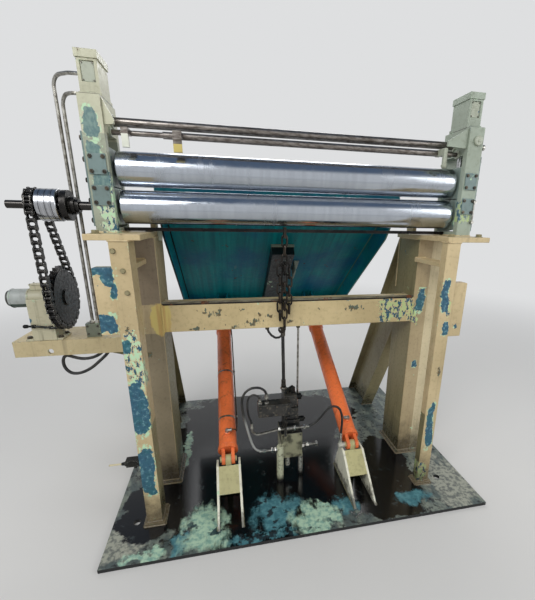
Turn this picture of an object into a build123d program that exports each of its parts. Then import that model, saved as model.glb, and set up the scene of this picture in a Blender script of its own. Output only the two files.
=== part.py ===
from build123d import *
from math import asin, atan2, cos, hypot, pi, radians, sin, sqrt, tan
import os

# Pinch roll stand of a slitting line: two steel rolls between a pair of
# welded side frames on a steel base plate, with a tilting strip table
# behind the rolls and a chain drive on a shelf at the left end.
# Millimetres. X runs along the rolls, Y towards the table, Z up.
# The origin is on the floor, under the middle of the roll faces.

# Driving dimensions: base plate and side frames
plate_thk = 20
plate_margin = 145
plate_front_margin = 222
plate_rear = 1080
anchor_hole_d = 38
anchor_left_out = 27
anchor_right_in = 20
anchor_front_in = 31
anchor_rear_in = 70
front_post_left_in = 777
front_post_right_in = 706
front_post_w = 76
front_post_left_d = 107
front_post_right_d = 52
front_post_y = -264
rear_post_in = 728
rear_post_w = 157
rear_post_d = 248
rear_post_y = 47
post_wall = 9.5
frame_top = 1480
saddle_thk = 25
saddle_out = 945
tie_plate_z = 1352
tie_plate_thk = 22
side_box_w = 82
side_box_d = 60
side_box_setback = 14
side_box_len = 296
side_box_left_top = 1368
side_box_right_top = 1270
foot_pad_thk = 16
foot_pad_lip = 14
switch_w = 62
switch_d = 30
switch_z = 384
switch_h = 36
switch_setback = 10
switch_rod_d = 9
switch_rod_len = 82

# Driving dimensions: diagonal braces, wide flange section
brace_top_ledge = 8
brace_foot_in = 2
brace_depth = 305
brace_width = 101
brace_flange = 11
brace_web = 7

# Driving dimensions: cross beam
beam_top = 1129
beam_h = 147
beam_d = 150
beam_wall = 8
beam_angle_leg = 38
beam_angle_thk = 6
beam_angle_rise = 19
beam_angle_setback = 4

# Driving dimensions: rolls and their bearings
nip_z = 1698
nip_gap = 12
roll_d = 150
roll_face = 1676
roll_edge = 3
journal_d = 58
journal_past = 14
roll_shoulder_d = 74
roll_shoulder_len = 8
shaft_d = 38
shaft_stub_d = 35
shaft_stub_from = -1225
shaft_end = -1310
bearing_fit = 0.05
housing_gap = 12
housing_w = 85
housing_leg = 36
housing_base = 22
block_w = 148
block_h = 158
block_side_gap = 1
block_end_gap = 2
block_boss_d = 94
block_boss_len = 8
yoke_bottom = 1912
yoke_top = 2042
lift_travel = 50
lift_rod_d = 38
head_w = 76
head_d = 142
head_h = 163
head_flange = 14
head_cap = 30
head_panel_depth = 6
head_panel_rim = 12
head_panel_above = 36
head_panel_below = 9
head_rod_room = 12
head_rod_spare = 4
head_port_y = 40
head_port_above = 34
head_port_below = 55
head_port_d = 26
head_port_len = 14

# Driving dimensions: cross rods over the rolls and the chain bar below
upper_tie_d = 38
upper_tie_y = 20
upper_tie_z = 1972
lower_tie_d = 22
lower_tie_y = -30
lower_tie_z = 1922
lower_tie_sleeve_d = 30
lower_tie_sleeve_from = -633
lower_tie_sleeve_end = 40
hanger_left = (-791, -764)
hanger_left_low = 1856
hanger_right = (-586, -550)
hanger_right_low = 1847
hanger_front = -98
hanger_thk = 16
chain_bar_y = 7
chain_bar_d = 26
chain_bar_h = 16
chain_bar_z = 1510

# Driving dimensions: welded link chain that hangs from the chain bar
hook_x = -78
hook_thk = 12
hook_rim = 10
hook_room = 20
link_count = 10
link_wire = 11
link_inner_len = 50
link_inner_w = 16
link_bow_sides = 4
link_wire_sides = 6

# Driving dimensions: table, tilting about its edge next to the rolls
table_gap_left = 6
table_gap_right = 106
table_hinge_y = 195
table_hinge_z = 1618
table_slope = 36.6
table_lip = 100
table_far = 1330
deck_rise = 65
deck_thk = 6
side_bar_lip_drop = 45
side_bar_drop = 75
side_bar_step_from = 60
side_bar_step_to = 160
side_bar_thk = 12
table_end_bar = 10
lip_bar_low = -25
table_pin_d = 32
ear_thk = 25
ear_w = 76
ear_setback = 7
lug_gap = 58
lug_thk = 16
lug_drop = 25
lug_half = 45
lug_low = -55
duct_centre = -2
duct_w = 153
duct_low = -21
duct_wall = 8
duct_from = 440
duct_to = 1300
duct_end_thk = 14
catch_x = 110
catch_w = 40
catch_from = 640
catch_to = 760
catch_low = -30
catch_thk = 8

# Driving dimensions: the two table cylinders and their brackets
cyl_centre = -50
cyl_spacing = 750
cyl_base_y = -100
cyl_base_z = 247
cyl_lean_angle = 26.1
cyl_bore_d = 104
cyl_tube_from = 70
cyl_base_cap = 22
cyl_bore_from = 400
cyl_bore_end = 5
cyl_tube_to = 1050
cyl_gland_len = 46
cyl_gland_d = 116
cyl_rod_d = 45
cyl_pin_d = 32
cyl_fork_thk = 20
cyl_fork_gap = 34
cyl_fork_w = 64
cyl_pin_past = 10
cyl_eye_d = 68
cyl_eye_gap = 1
bracket_w = 136
bracket_plate = 12
bracket_front = -381
bracket_rear = 20
bracket_drop = 20
bracket_head_front = 34
bracket_head_rear = 30
bracket_foot = 12
bracket_cover = 8
bracket_cover_len = 150
tang_clear = 1
tang_w = 52
tang_foot_front = 30
tang_foot_rear = 60
swivel_d = 26
swivel_to = 85
swivel_stub_x = 73
swivel_stub_d = 22
swivel_stub_len = 28

# Driving dimensions: chain drive at the left end
chain_pitch = 31.75
roll_teeth = 12
drive_teeth = 30
chain_links = 50
chain_inner_w = 19
chain_plate = 4
chain_plate_h = 26
chain_plane = -1200
tooth_w = 17
roller_d = 19
chain_pin_d = 9.5
chain_pin_gap = 1.5
drive_axis_y = 105
tooth_land = 4.5
tooth_over_pitch = 5.7
drive_hub_d = 84
drive_hub_len = 24
drum_d = 140
drum_edge = 3
drum_from = -1178
drum_to = -1094
coupling_d = 132
coupling_thk = 26
coupling_x = -1070
coupling_hub_d = 76
coupling_hub_len = 22
shelf_end = -1440
shelf_rear = 290
shelf_under_chain = 46
shelf_plate = 10
shelf_bar_h = 82
shelf_bar_d = 12
shelf_hole_d = 26
shelf_hole_x = -1278
shelf_hole_z = 910
gusset_y = 110
gusset_thk = 10
gusset_len = 210
gusset_low = 826
port_block_x = -1111
port_block_w = 66
port_block_y = 75
port_block_d = 40
port_block_h = 73
clip_from = -1052
clip_to = -998
clip_y = 62
clip_d = 20
clip_h = 27
motor_d = 92
motor_from = -1425
motor_to = -1232
motor_bell_d = 78
motor_bell_len = 12
pedestal_from = -1345
pedestal_to = -1240
pedestal_depth = 110

# Driving dimensions: valve stack between the cylinders, and its pipes
stack_leg_x = -117
stack_leg_d = 42
stack_leg_y = -60
tee_top = 262
small_leg_x = 17
small_leg_d = 28
small_leg_y = -30
plug_x = -66
plug_d = 30
plug_low = 102
manifold_left = -110
manifold_right = 20
manifold_front = -60
manifold_rear = 84
manifold_low = 172
manifold_top = 342
valve_left = -86
valve_right = 4
valve_front = -45
valve_steps = (342, 424, 500, 578)
valve_step_in = 7
side_valve_left = -245
side_valve_right = -56
side_valve_front = -90
side_valve_rear = -20
side_valve_low = 485
side_valve_top = 560
nipple_d = 20
outer_nipple_x = -233
outer_nipple_top = 572
inner_nipple_x = -195
inner_nipple_top = 590
pipe_d = 16
fitting_d = 26
fitting_len = 40
low_pipe_z = 240
low_pipe_from = -209
right_stub_to = 120
right_stub_y = -44
high_pipe_y = -68
high_pipe_z = 384
high_tee_left = -95
high_tee_right = -80
high_tee_d = 30
high_pipe_to = 25
high_pipe_bend = 16
riser_y = 66
riser_pipe_x = 11
riser_pipe_d = 12
head_pipe_y = 90
head_pipe_left = -1079
head_pipe_right = -1055
head_pipe_turn_x = -1000
head_pipe_bend = 45

# Driving dimensions: hoses, drawn like the bent pipes with flat-sided sections
tube_sides = 6
arc_share = 0.45
long_jumper_d = 14
short_jumper_d = 11
right_feed_d = 14
riser_hose_d = 20
shelf_hose_d = 16

# Clearances
seat = 0.3
pin_fit = 0.05

# Worked out from the driving dimensions
roll_r = roll_d / 2
lower_z = nip_z - nip_gap / 2 - roll_r
upper_z = nip_z + nip_gap / 2 + roll_r
housing_in = roll_face / 2 + housing_gap
housing_out = housing_in + housing_w
housing_mid = (housing_in + housing_out) / 2
housing_foot = frame_top + saddle_thk
window_half = block_w / 2 + block_side_gap
post_out = rear_post_in + rear_post_w
post_rear = rear_post_y + rear_post_d
plate_half = post_out + plate_margin
plate_front = front_post_y - plate_front_margin
anchor_left = -(post_out + anchor_left_out)
anchor_right = post_out - anchor_right_in
# Keyed by side: -1 is the left side frame, +1 the right one
front_post_in = {-1: front_post_left_in, 1: front_post_right_in}
front_post_d = {-1: front_post_left_d, 1: front_post_right_d}
side_box_top = {-1: side_box_left_top, 1: side_box_right_top}
head_top = yoke_top + head_h
head_port_low = yoke_top + head_port_above
head_port_high = head_top - head_port_below
slope = radians(table_slope)
cyl_lean = radians(cyl_lean_angle)


def box(x0, x1, y0, y1, z0, z1):
    """A block between two opposite corners."""
    centre = Pos((x0 + x1) / 2, (y0 + y1) / 2, (z0 + z1) / 2)
    return centre * Box(abs(x1 - x0), abs(y1 - y0), abs(z1 - z0))


def sided(side, x0, x1, y0, y1, z0, z1):
    """A block on the left (-1) or right (+1) side frame."""
    return box(side * x0, side * x1, y0, y1, z0, z1)


def rod_x(diameter, x0, x1, y, z):
    """A round bar along X."""
    low, high = min(x0, x1), max(x0, x1)
    plane = Plane(origin=(low, y, z), x_dir=(0, 1, 0), z_dir=(1, 0, 0))
    return extrude(plane * Circle(diameter / 2), high - low)


def rod_z(diameter, x, y, z0, z1):
    """A round bar along Z."""
    return extrude(Plane(origin=(x, y, z0)) * Circle(diameter / 2), z1 - z0)


def profile_x(points, x0, x1):
    """A plate across X, cut to an outline of (y, z) points."""
    low, high = min(x0, x1), max(x0, x1)
    plane = Plane(origin=(low, 0, 0), x_dir=(0, 1, 0), z_dir=(1, 0, 0))
    return extrude(plane * make_face(Polyline(*points, close=True)), high - low)


def swept(section, path, points):
    """A section carried along a path from its first point."""
    toward = Vector(*points[1]) - Vector(*points[0])
    return sweep(Plane(origin=points[0], z_dir=toward) * section, path=path)


def pipe(diameter, bend, points):
    """A rigid pipe with the same bend radius at every corner."""
    path = FilletPolyline(*points, radius=bend)
    return swept(RegularPolygon(diameter / 2, tube_sides), path, points)


def hose(name, diameter, points):
    """A hose of straight runs joined by arcs as large as the runs allow."""
    radii = []
    for a, b, c in zip(points, points[1:], points[2:]):
        before = Vector(*b) - Vector(*a)
        after = Vector(*c) - Vector(*b)
        shorter = min(before.length, after.length)
        radii.append(arc_share * shorter / tan(radians(before.get_angle(after)) / 2))
    path = FilletPolyline(*points, radius=radii)
    section = RegularPolygon(diameter / 2, tube_sides)
    tube = swept(section, path, points)
    share = tube.volume / (section.area * path.length)
    print(name, "length", round(path.length), "radii", [round(r) for r in radii])
    print(name, "volume share", round(share, 4))
    return tube


def save(name, shape):
    """Write one named piece."""
    shape.label = name
    export_step(shape, f"parts/{name}.step")


# Base plate and side frames
def base_plate():
    plate = box(-plate_half, plate_half, plate_front, plate_rear, 0, plate_thk)
    for x in (anchor_left, anchor_right):
        for y in (front_post_y + anchor_front_in, plate_rear - anchor_rear_in):
            plate -= rod_z(anchor_hole_d, x, y, 0, plate_thk)
    return plate


def tube_post(side, x_in, width, y_front, depth):
    """A square-edged tube post with its foot pad."""
    z0, z1 = plate_thk + foot_pad_thk, frame_top
    post = sided(side, x_in, x_in + width, y_front, y_front + depth, z0, z1)
    inner = sided(side, x_in + post_wall, x_in + width - post_wall,
                  y_front + post_wall, y_front + depth - post_wall, z0, z1)
    pad = sided(side, x_in - foot_pad_lip, x_in + width + foot_pad_lip,
                y_front - foot_pad_lip, y_front + depth + foot_pad_lip,
                plate_thk, z0)
    return post - inner + pad


def limit_switch():
    """The switch on the outer face of the left front post, with its long actuator."""
    x0 = -(front_post_left_in + front_post_w)
    y0 = front_post_y + switch_setback
    body = box(x0 - switch_w, x0, y0, y0 + switch_d, switch_z, switch_z + switch_h)
    return body + rod_x(switch_rod_d, x0 - switch_w - switch_rod_len, x0 - switch_w,
                        y0 + switch_d / 2, switch_z + switch_h / 3)


def saddle(side):
    """The plate that joins the two posts and carries the roll housing."""
    x_in = min(rear_post_in, front_post_in[side])
    return sided(side, x_in, saddle_out, front_post_y, post_rear, frame_top, housing_foot)


def tie_plate(side):
    """The short plate between the front and the rear post."""
    return sided(side, front_post_in[side], front_post_in[side] + front_post_w,
                 front_post_y + front_post_d[side], rear_post_y,
                 tie_plate_z, tie_plate_z + tie_plate_thk)


def side_box(side):
    """The box section welded to the outer face of the front post."""
    x_in = front_post_in[side] + front_post_w
    y0 = front_post_y + side_box_setback
    return sided(side, x_in, x_in + side_box_w, y0, y0 + side_box_d,
                 side_box_top[side] - side_box_len, side_box_top[side])


def brace(side):
    """A wide flange brace from the back of the rear post to the plate."""
    # Its rear flange runs from a small ledge at the post's top to the plate's rear edge
    rear_top = post_rear + brace_top_ledge
    dy = plate_rear - brace_foot_in - rear_top
    dz = frame_top - plate_thk
    lean = atan2(dz, dy)
    half = brace_depth / 2
    section = Rectangle(brace_depth, brace_width)
    section -= Rectangle(brace_depth - 2 * brace_flange, brace_width)
    section += Rectangle(brace_depth, brace_web)
    # Both braces stand flush with the left-hand face of their post
    x_mid = min(side * rear_post_in, side * post_out) + brace_width / 2
    plane = Plane(origin=(x_mid, rear_top - half * sin(lean), frame_top - half * cos(lean)),
                  x_dir=(0, sin(lean), cos(lean)), z_dir=(0, cos(lean), -sin(lean)))
    beam = extrude(plane * section, hypot(dy, dz) + brace_depth)
    beam += extrude(plane * section, -brace_depth)
    x0, x1 = x_mid - brace_width, x_mid + brace_width
    return beam & box(x0, x1, post_rear, plate_rear, plate_thk, frame_top)


def cross_beam():
    """The box beam between the two rear posts."""
    y0, y1 = rear_post_y, rear_post_y + beam_d
    z0, z1 = beam_top - beam_h, beam_top
    w = beam_wall
    beam = box(-rear_post_in, rear_post_in, y0, y1, z0, z1)
    return beam - box(-rear_post_in, rear_post_in, y0 + w, y1 - w, z0 + w, z1 - w)


def beam_angle():
    """The rusty angle that lies along the top of the cross beam."""
    y0 = rear_post_y + beam_angle_setback
    leg, thk, rise = beam_angle_leg, beam_angle_thk, beam_angle_rise
    outline = [(y0, beam_top), (y0 + leg, beam_top), (y0 + leg, beam_top + thk),
               (y0 + thk, beam_top + thk), (y0 + thk, beam_top + rise), (y0, beam_top + rise)]
    return profile_x(outline, -rear_post_in, rear_post_in)


# Roll housings
def housing(side):
    """The window frame that guides the bearing blocks, with its top yoke."""
    half = window_half + housing_leg
    frame = sided(side, housing_in, housing_out, -half, half, housing_foot, yoke_top)
    frame -= sided(side, housing_in, housing_out, -window_half, window_half,
                   housing_foot + housing_base, yoke_bottom)
    return frame - rod_z(lift_rod_d + 2 * pin_fit, side * housing_mid, 0, yoke_bottom, yoke_top)


def head(side):
    """The lift cylinder body on top of the housing, with a recessed panel and two ports."""
    x0, x1 = housing_mid - head_w / 2, housing_mid + head_w / 2
    y0, y1 = -head_d / 2, head_d / 2
    body = sided(side, x0, x1, y0, y1, yoke_top, head_top)
    lip = (housing_w - head_w) / 2
    for low, high in ((yoke_top, yoke_top + head_flange), (head_top - head_cap, head_top)):
        body += sided(side, x0 - lip, x1 + lip, y0 - lip, y1 + lip, low, high)
    rim, depth = head_panel_rim, head_panel_depth
    for y_out, y_in in ((y0, y0 + depth), (y1, y1 - depth)):
        body -= sided(side, x0 + rim, x1 - rim, y_out, y_in, yoke_top + head_flange + head_panel_above,
                      head_top - head_cap - head_panel_below)
    for z in (head_port_low, head_port_high):
        body += rod_x(head_port_d, side * x1, side * (x1 + head_port_len), head_port_y, z)
    return body - rod_z(lift_rod_d + 2 * pin_fit, side * housing_mid, 0,
                        yoke_top, head_top - head_rod_room)


def bearing_block(side, axis_z):
    """A bearing block with its bore and a stepped outer boss."""
    x0, x1 = housing_in + block_end_gap, housing_out - block_end_gap
    x2 = x1 + block_boss_len
    half = block_h / 2
    block = sided(side, x0, x1, -block_w / 2, block_w / 2, axis_z - half, axis_z + half)
    block += rod_x(block_boss_d, side * x1, side * x2, 0, axis_z)
    return block - rod_x(journal_d + 2 * bearing_fit, side * x0, side * x2, 0, axis_z)


def lift_rod(side):
    """The rod from the upper bearing block into the lift cylinder."""
    z0 = upper_z + block_h / 2
    z1 = head_top - head_rod_room - lift_travel - head_rod_spare
    return rod_z(lift_rod_d, side * housing_mid, 0, z0, z1)


# Rods over the rolls
def lower_tie_rod():
    """The thin cross rod with its sleeve and two hangers in front of the roll."""
    rod = rod_x(lower_tie_d, -housing_in, housing_in, lower_tie_y, lower_tie_z)
    rod += rod_x(lower_tie_sleeve_d, lower_tie_sleeve_from, housing_in - lower_tie_sleeve_end,
                 lower_tie_y, lower_tie_z)
    half = lower_tie_d / 2
    for (x0, x1), low in ((hanger_left, hanger_left_low), (hanger_right, hanger_right_low)):
        rod += box(x0, x1, hanger_front, lower_tie_y + half, lower_tie_z - half, lower_tie_z + half)
        rod += box(x0, x1, hanger_front, hanger_front + hanger_thk, low, lower_tie_z)
    return rod


# Rolls
def roll(axis_z, left_end, right_end):
    """A turned roll body with stepped journals."""
    half = roll_face / 2
    body = rod_x(roll_d, -half, half, 0, axis_z)
    body = chamfer(body.edges().filter_by(GeomType.CIRCLE), roll_edge)
    shoulder = half + roll_shoulder_len
    body += rod_x(roll_shoulder_d, -shoulder, shoulder, 0, axis_z)
    return body + rod_x(journal_d, left_end, right_end, 0, axis_z)


def lower_roll():
    """The driven roll, with the long shaft end that carries the drive pieces."""
    journal_end = housing_out + journal_past
    body = roll(lower_z, -journal_end, journal_end)
    body += rod_x(shaft_d, shaft_stub_from, -journal_end, 0, lower_z)
    return body + rod_x(shaft_stub_d, shaft_end, shaft_stub_from, 0, lower_z)


def upper_roll():
    journal_end = housing_out + journal_past
    return roll(upper_z, -journal_end, journal_end)


# Hanging chain
def chain_hook():
    """The closed strap round the chain bar that the first link hangs in."""
    y0, y1 = chain_bar_y, chain_bar_y + chain_bar_d
    z0, z1 = chain_bar_z - hook_room, chain_bar_z + chain_bar_h
    x0, x1 = hook_x - hook_thk / 2, hook_x + hook_thk / 2
    strap = box(x0, x1, y0 - hook_rim, y1 + hook_rim, z0 - hook_rim, z1 + hook_rim)
    return strap - box(x0, x1, y0 - seat, y1 + seat, z0, z1 + seat)


def chain_link(top, turned):
    """A welded link: top is the inside of its upper bow."""
    reach = (link_inner_w + link_wire) / 2
    upper = top - link_inner_w / 2
    lower = top - link_inner_len + link_inner_w / 2
    # Start on a straight side, so that the joint lies away from the bows
    points = [(reach, (upper + lower) / 2)]
    step = pi / link_bow_sides
    for z, first in ((upper, 0), (lower, pi)):
        for i in range(link_bow_sides):
            a = first + (i + 0.5) * step
            r = reach / cos(step / 2)
            points.append((r * cos(a), z + r * sin(a)))
    y = chain_bar_y + chain_bar_d / 2
    if turned:
        route = [(hook_x, y + w, z) for w, z in points]
    else:
        route = [(hook_x + w, y, z) for w, z in points]
    across = (0, 1, 0) if turned else (1, 0, 0)
    plane = Plane(origin=route[0], x_dir=across, z_dir=(0, 0, 1))
    section = plane * RegularPolygon(link_wire / 2, link_wire_sides)
    return sweep(section, path=Polyline(*route, close=True), transition=Transition.RIGHT)


def hanging_chain():
    """The links hang in one another in turn, each a seat clear of the next."""
    links = [chain_hook()]
    for i in range(link_count):
        top = chain_bar_z - hook_room + seat - i * (link_inner_len - seat)
        links.append(chain_link(top, i % 2))
    return Compound(children=links)


# Chain drive
def pitch_radius(teeth):
    return chain_pitch / (2 * sin(pi / teeth))


def chain_centres():
    """The centre distance that the whole number of links closes on."""
    small, large = pitch_radius(roll_teeth), pitch_radius(drive_teeth)
    low, high = large + small, chain_links * chain_pitch
    for _ in range(60):
        mid = (low + high) / 2
        lean = asin((large - small) / mid)
        links = 2 * mid * cos(lean) / chain_pitch
        links += roll_teeth * (pi - 2 * lean) / (2 * pi)
        links += drive_teeth * (pi + 2 * lean) / (2 * pi)
        if links < chain_links:
            low = mid
        else:
            high = mid
    return low


centres = chain_centres()
drive_z = lower_z - sqrt(centres ** 2 - drive_axis_y ** 2)
chain_lean = asin((pitch_radius(drive_teeth) - pitch_radius(roll_teeth)) / centres)
line_angle = atan2(drive_z - lower_z, drive_axis_y)
chain_reach = chain_inner_w / 2 + 2 * chain_plate
shelf_top = drive_z - pitch_radius(drive_teeth) - chain_plate_h / 2 - shelf_under_chain


def chain_points():
    """Pin centres (y, z) round the loop, with where each one lies."""
    small, large = pitch_radius(roll_teeth), pitch_radius(drive_teeth)
    small_step, large_step = 2 * pi / roll_teeth, 2 * pi / drive_teeth
    # Going round: the small sprocket, the back run, the large sprocket, the front run
    start = line_angle - pi / 2 - chain_lean
    small_links = (pi - 2 * chain_lean) / small_step
    run_links = centres * cos(chain_lean) / chain_pitch
    large_links = (pi + 2 * chain_lean) / large_step
    points = []
    for i in range(chain_links):
        s = i
        if s <= small_links:
            a = start - s * small_step
            points.append((small * cos(a), lower_z + small * sin(a), "small"))
            continue
        s -= small_links
        a = line_angle + pi / 2 + chain_lean
        if s < run_links:
            y = small * cos(a) + sin(a) * s * chain_pitch
            z = lower_z + small * sin(a) - cos(a) * s * chain_pitch
            points.append((y, z, "run"))
            continue
        s -= run_links
        if s <= large_links:
            b = a - s * large_step
            points.append((drive_axis_y + large * cos(b), drive_z + large * sin(b), "large"))
            continue
        s -= large_links
        b = a - (pi + 2 * chain_lean)
        y = drive_axis_y + large * cos(b) + sin(b) * s * chain_pitch
        z = drive_z + large * sin(b) - cos(b) * s * chain_pitch
        points.append((y, z, "run"))
    return points


def link_plate(a, b, x0, x1):
    """A link plate with pointed ends between two pin centres."""
    dy, dz = b[0] - a[0], b[1] - a[1]
    length = hypot(dy, dz)
    uy, uz = dy / length, dz / length
    half = chain_plate_h / 2
    clip = half / 2
    corners = [(-half, 0), (-half + clip, -half), (length + half - clip, -half),
               (length + half, 0), (length + half - clip, half), (-half + clip, half)]
    outline = [(a[0] + u * uy - v * uz, a[1] + u * uz + v * uy) for u, v in corners]
    return profile_x(outline, x0, x1)


def clear_of_teeth(point):
    """True where a pin stays out of the way of both turning sprockets."""
    for teeth, y, z in ((roll_teeth, 0, lower_z), (drive_teeth, drive_axis_y, drive_z)):
        room = pitch_radius(teeth) + tooth_over_pitch + chain_pin_d / 2 + chain_pin_gap
        if hypot(point[0] - y, point[1] - z) < room:
            return False
    return True


def drive_chain():
    """The whole loop: paired link plates, with pins where no tooth passes."""
    points = chain_points()
    plates = []
    for i, a in enumerate(points):
        b = points[(i + 1) % len(points)]
        inner = chain_inner_w / 2 + (chain_plate if i % 2 else 0)
        for sign in (-1, 1):
            x0 = chain_plane + sign * inner
            plates.append(link_plate(a, b, x0, x0 + sign * chain_plate))
    pins = []
    for y, z, _ in filter(clear_of_teeth, points):
        plane = Plane(origin=(chain_plane - chain_reach, y, z), x_dir=(0, 1, 0), z_dir=(1, 0, 0))
        pins.append(extrude(plane * RegularPolygon(chain_pin_d / 2, 6), 2 * chain_reach))
    return plates[0].fuse(*plates[1:], *pins)


def tooth_outline(teeth, phase):
    """Six points a tooth: two on its tip, then the flanks and floor of the gap after it."""
    radius = pitch_radius(teeth)
    tip = radius + tooth_over_pitch
    step = 2 * pi / teeth
    seat_r = roller_d / 2 + seat
    corner = seat_r / cos(pi / 6)
    points = []
    for i in range(teeth):
        a = phase + i * step
        land = tooth_land / 2 / tip
        points.append((tip * cos(a - step / 2 + land), tip * sin(a - step / 2 + land)))
        for out, across in ((0, -corner), (-seat_r, -corner / 2), (-seat_r, corner / 2), (0, corner)):
            u = radius + out
            points.append((u * cos(a) - across * sin(a), u * sin(a) + across * cos(a)))
        points.append((tip * cos(a + step / 2 - land), tip * sin(a + step / 2 - land)))
    return points


def sprocket(teeth, axis_y, axis_z, wheel_name):
    """A roller chain sprocket with smooth shoulders under the link plates."""
    first = [point for point in chain_points() if point[2] == wheel_name][0]
    phase = atan2(first[1] - axis_z, first[0] - axis_y)
    plane = Plane(origin=(chain_plane - tooth_w / 2, axis_y, axis_z),
                  x_dir=(0, 1, 0), z_dir=(1, 0, 0))
    outline = make_face(Polyline(*tooth_outline(teeth, phase), close=True))
    wheel = extrude(plane * outline, tooth_w)
    shoulder = pitch_radius(teeth) * cos(pi / teeth) - chain_plate_h / 2 - seat
    return wheel + rod_x(2 * shoulder, chain_plane - chain_reach, chain_plane + chain_reach,
                         axis_y, axis_z)


def roll_sprocket():
    wheel = sprocket(roll_teeth, 0, lower_z, "small")
    return wheel - rod_x(shaft_d, chain_plane - chain_reach, chain_plane + chain_reach, 0, lower_z)


def drive_sprocket():
    """The large sprocket with the motor shaft that carries it."""
    wheel = sprocket(drive_teeth, drive_axis_y, drive_z, "large")
    wheel += rod_x(drive_hub_d, chain_plane, chain_plane + drive_hub_len, drive_axis_y, drive_z)
    return wheel + rod_x(shaft_d, motor_to + seat, chain_plane, drive_axis_y, drive_z)


def clutch_drum():
    drum = rod_x(drum_d, drum_from, drum_to, 0, lower_z)
    drum = chamfer(drum.edges().filter_by(GeomType.CIRCLE), drum_edge)
    return drum - rod_x(shaft_d, drum_from, drum_to, 0, lower_z)


def coupling_disc():
    x0, x1 = coupling_x - coupling_thk / 2, coupling_x + coupling_thk / 2
    x2 = x1 + coupling_hub_len
    disc = rod_x(coupling_d, x0, x1, 0, lower_z)
    disc += rod_x(coupling_hub_d, x1, x2, 0, lower_z)
    return disc - rod_x(shaft_d, x0, x2, 0, lower_z)


def drive_shelf():
    """The welded shelf on the outer face of the left rear post, with its port block."""
    x0, x1 = shelf_end, -post_out
    y0, y1 = rear_post_y, shelf_rear
    z0, z1 = shelf_top - shelf_bar_h, shelf_top - shelf_plate
    shelf = box(x0, x1, y0, y1, z1, shelf_top)
    for y in (y0, y1 - shelf_bar_d):
        shelf += box(x0, x1, y, y + shelf_bar_d, z0, z1)
    shelf += box(x0, x0 + shelf_bar_d, y0, y1, z0, z1)
    hole = Plane(origin=(shelf_hole_x, y0, shelf_hole_z), x_dir=(1, 0, 0), z_dir=(0, 1, 0))
    shelf -= extrude(hole * Circle(shelf_hole_d / 2), shelf_bar_d)
    gusset = Polyline((x1, z1), (x1 - gusset_len, z1), (x1 - gusset_len, z0), (x1, gusset_low), close=True)
    plane = Plane(origin=(0, gusset_y, 0), x_dir=(1, 0, 0), z_dir=(0, -1, 0))
    shelf += extrude(plane * make_face(gusset), -gusset_thk)
    shelf += box(clip_from, clip_to, clip_y, clip_y + clip_d, z1 - clip_h, z1)
    return shelf + box(port_block_x, port_block_x + port_block_w, port_block_y,
                       port_block_y + port_block_d, shelf_top, shelf_top + port_block_h)


def motor_pedestal():
    half = pedestal_depth / 2
    block = box(pedestal_from, pedestal_to, drive_axis_y - half, drive_axis_y + half, shelf_top, drive_z)
    return block - rod_x(motor_d + 2 * seat, pedestal_from, pedestal_to, drive_axis_y, drive_z)


def drive_motor():
    motor = rod_x(motor_d, motor_from, motor_to, drive_axis_y, drive_z)
    return motor + rod_x(motor_bell_d, motor_from - motor_bell_len, motor_from, drive_axis_y, drive_z)


# Table
def table_point(s, n):
    """(y, z) of a point s down the table and n above the hinge line."""
    y = table_hinge_y + s * cos(slope) + n * sin(slope)
    z = table_hinge_z - s * sin(slope) + n * cos(slope)
    return (y, z)


def table_slab(s0, s1, n0, n1, x0, x1):
    """A block in the table's own sloping axes."""
    corners = [table_point(s0, n0), table_point(s1, n0), table_point(s1, n1), table_point(s0, n1)]
    return profile_x(corners, x0, x1)


table_left = -(rear_post_in - table_gap_left)
table_right = rear_post_in - table_gap_right
deck_under = deck_rise - deck_thk
ear_in = rear_post_in + ear_setback
cyl_x = (cyl_centre - cyl_spacing / 2, cyl_centre + cyl_spacing / 2)


def cylinder_reach():
    """Where the rod eye meets the table, as a distance down the table."""
    low, high = 0.0, table_far
    for _ in range(50):
        mid = (low + high) / 2
        y, z = table_point(mid, -lug_drop)
        if z > cyl_base_z + (y - cyl_base_y) * tan(cyl_lean):
            low = mid
        else:
            high = mid
    return low


lug_s = cylinder_reach()
lug_y, lug_z = table_point(lug_s, -lug_drop)
cyl_length = hypot(lug_y - cyl_base_y, lug_z - cyl_base_z)


def side_bar(x0, x1, pin_to):
    """A side bar of the table, shallower at the lip, with its hinge pin."""
    outline = [(-table_lip, deck_under), (-table_lip, -side_bar_lip_drop),
               (side_bar_step_from, -side_bar_lip_drop), (side_bar_step_to, -side_bar_drop),
               (table_far, -side_bar_drop), (table_far, deck_under)]
    bar = profile_x([table_point(s, n) for s, n in outline], x0, x1)
    return bar + rod_x(table_pin_d, (x0 + x1) / 2, pin_to, table_hinge_y, table_hinge_z)


def hinge_ear(side):
    """The ear on the saddle that holds the table's hinge pin."""
    x0, x1 = side * ear_in, side * (ear_in + ear_thk)
    y0, y1 = table_hinge_y - ear_w / 2, table_hinge_y + ear_w / 2
    ear = box(x0, x1, y0, y1, housing_foot, table_hinge_z)
    ear += rod_x(ear_w, x0, x1, table_hinge_y, table_hinge_z)
    return ear - rod_x(table_pin_d + 2 * pin_fit, x0, x1, table_hinge_y, table_hinge_z)


def table_end_bars():
    """The cross bars at the lip and at the far end."""
    x0, x1 = table_left + side_bar_thk, table_right - side_bar_thk
    lip = table_slab(-table_lip, -table_lip + table_end_bar, lip_bar_low, deck_under, x0, x1)
    far = table_slab(table_far - table_end_bar, table_far, -side_bar_drop, deck_under, x0, x1)
    return Compound(children=[lip, far])


def table_lugs():
    """The four lugs under the table that the rod eyes sit between."""
    lugs = []
    for x in cyl_x:
        for sign in (-1, 1):
            x0 = x + sign * lug_gap / 2
            lugs.append(table_slab(lug_s - lug_half, lug_s + lug_half, lug_low, deck_under,
                                   x0, x0 + sign * lug_thk))
    return Compound(children=lugs)


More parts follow.
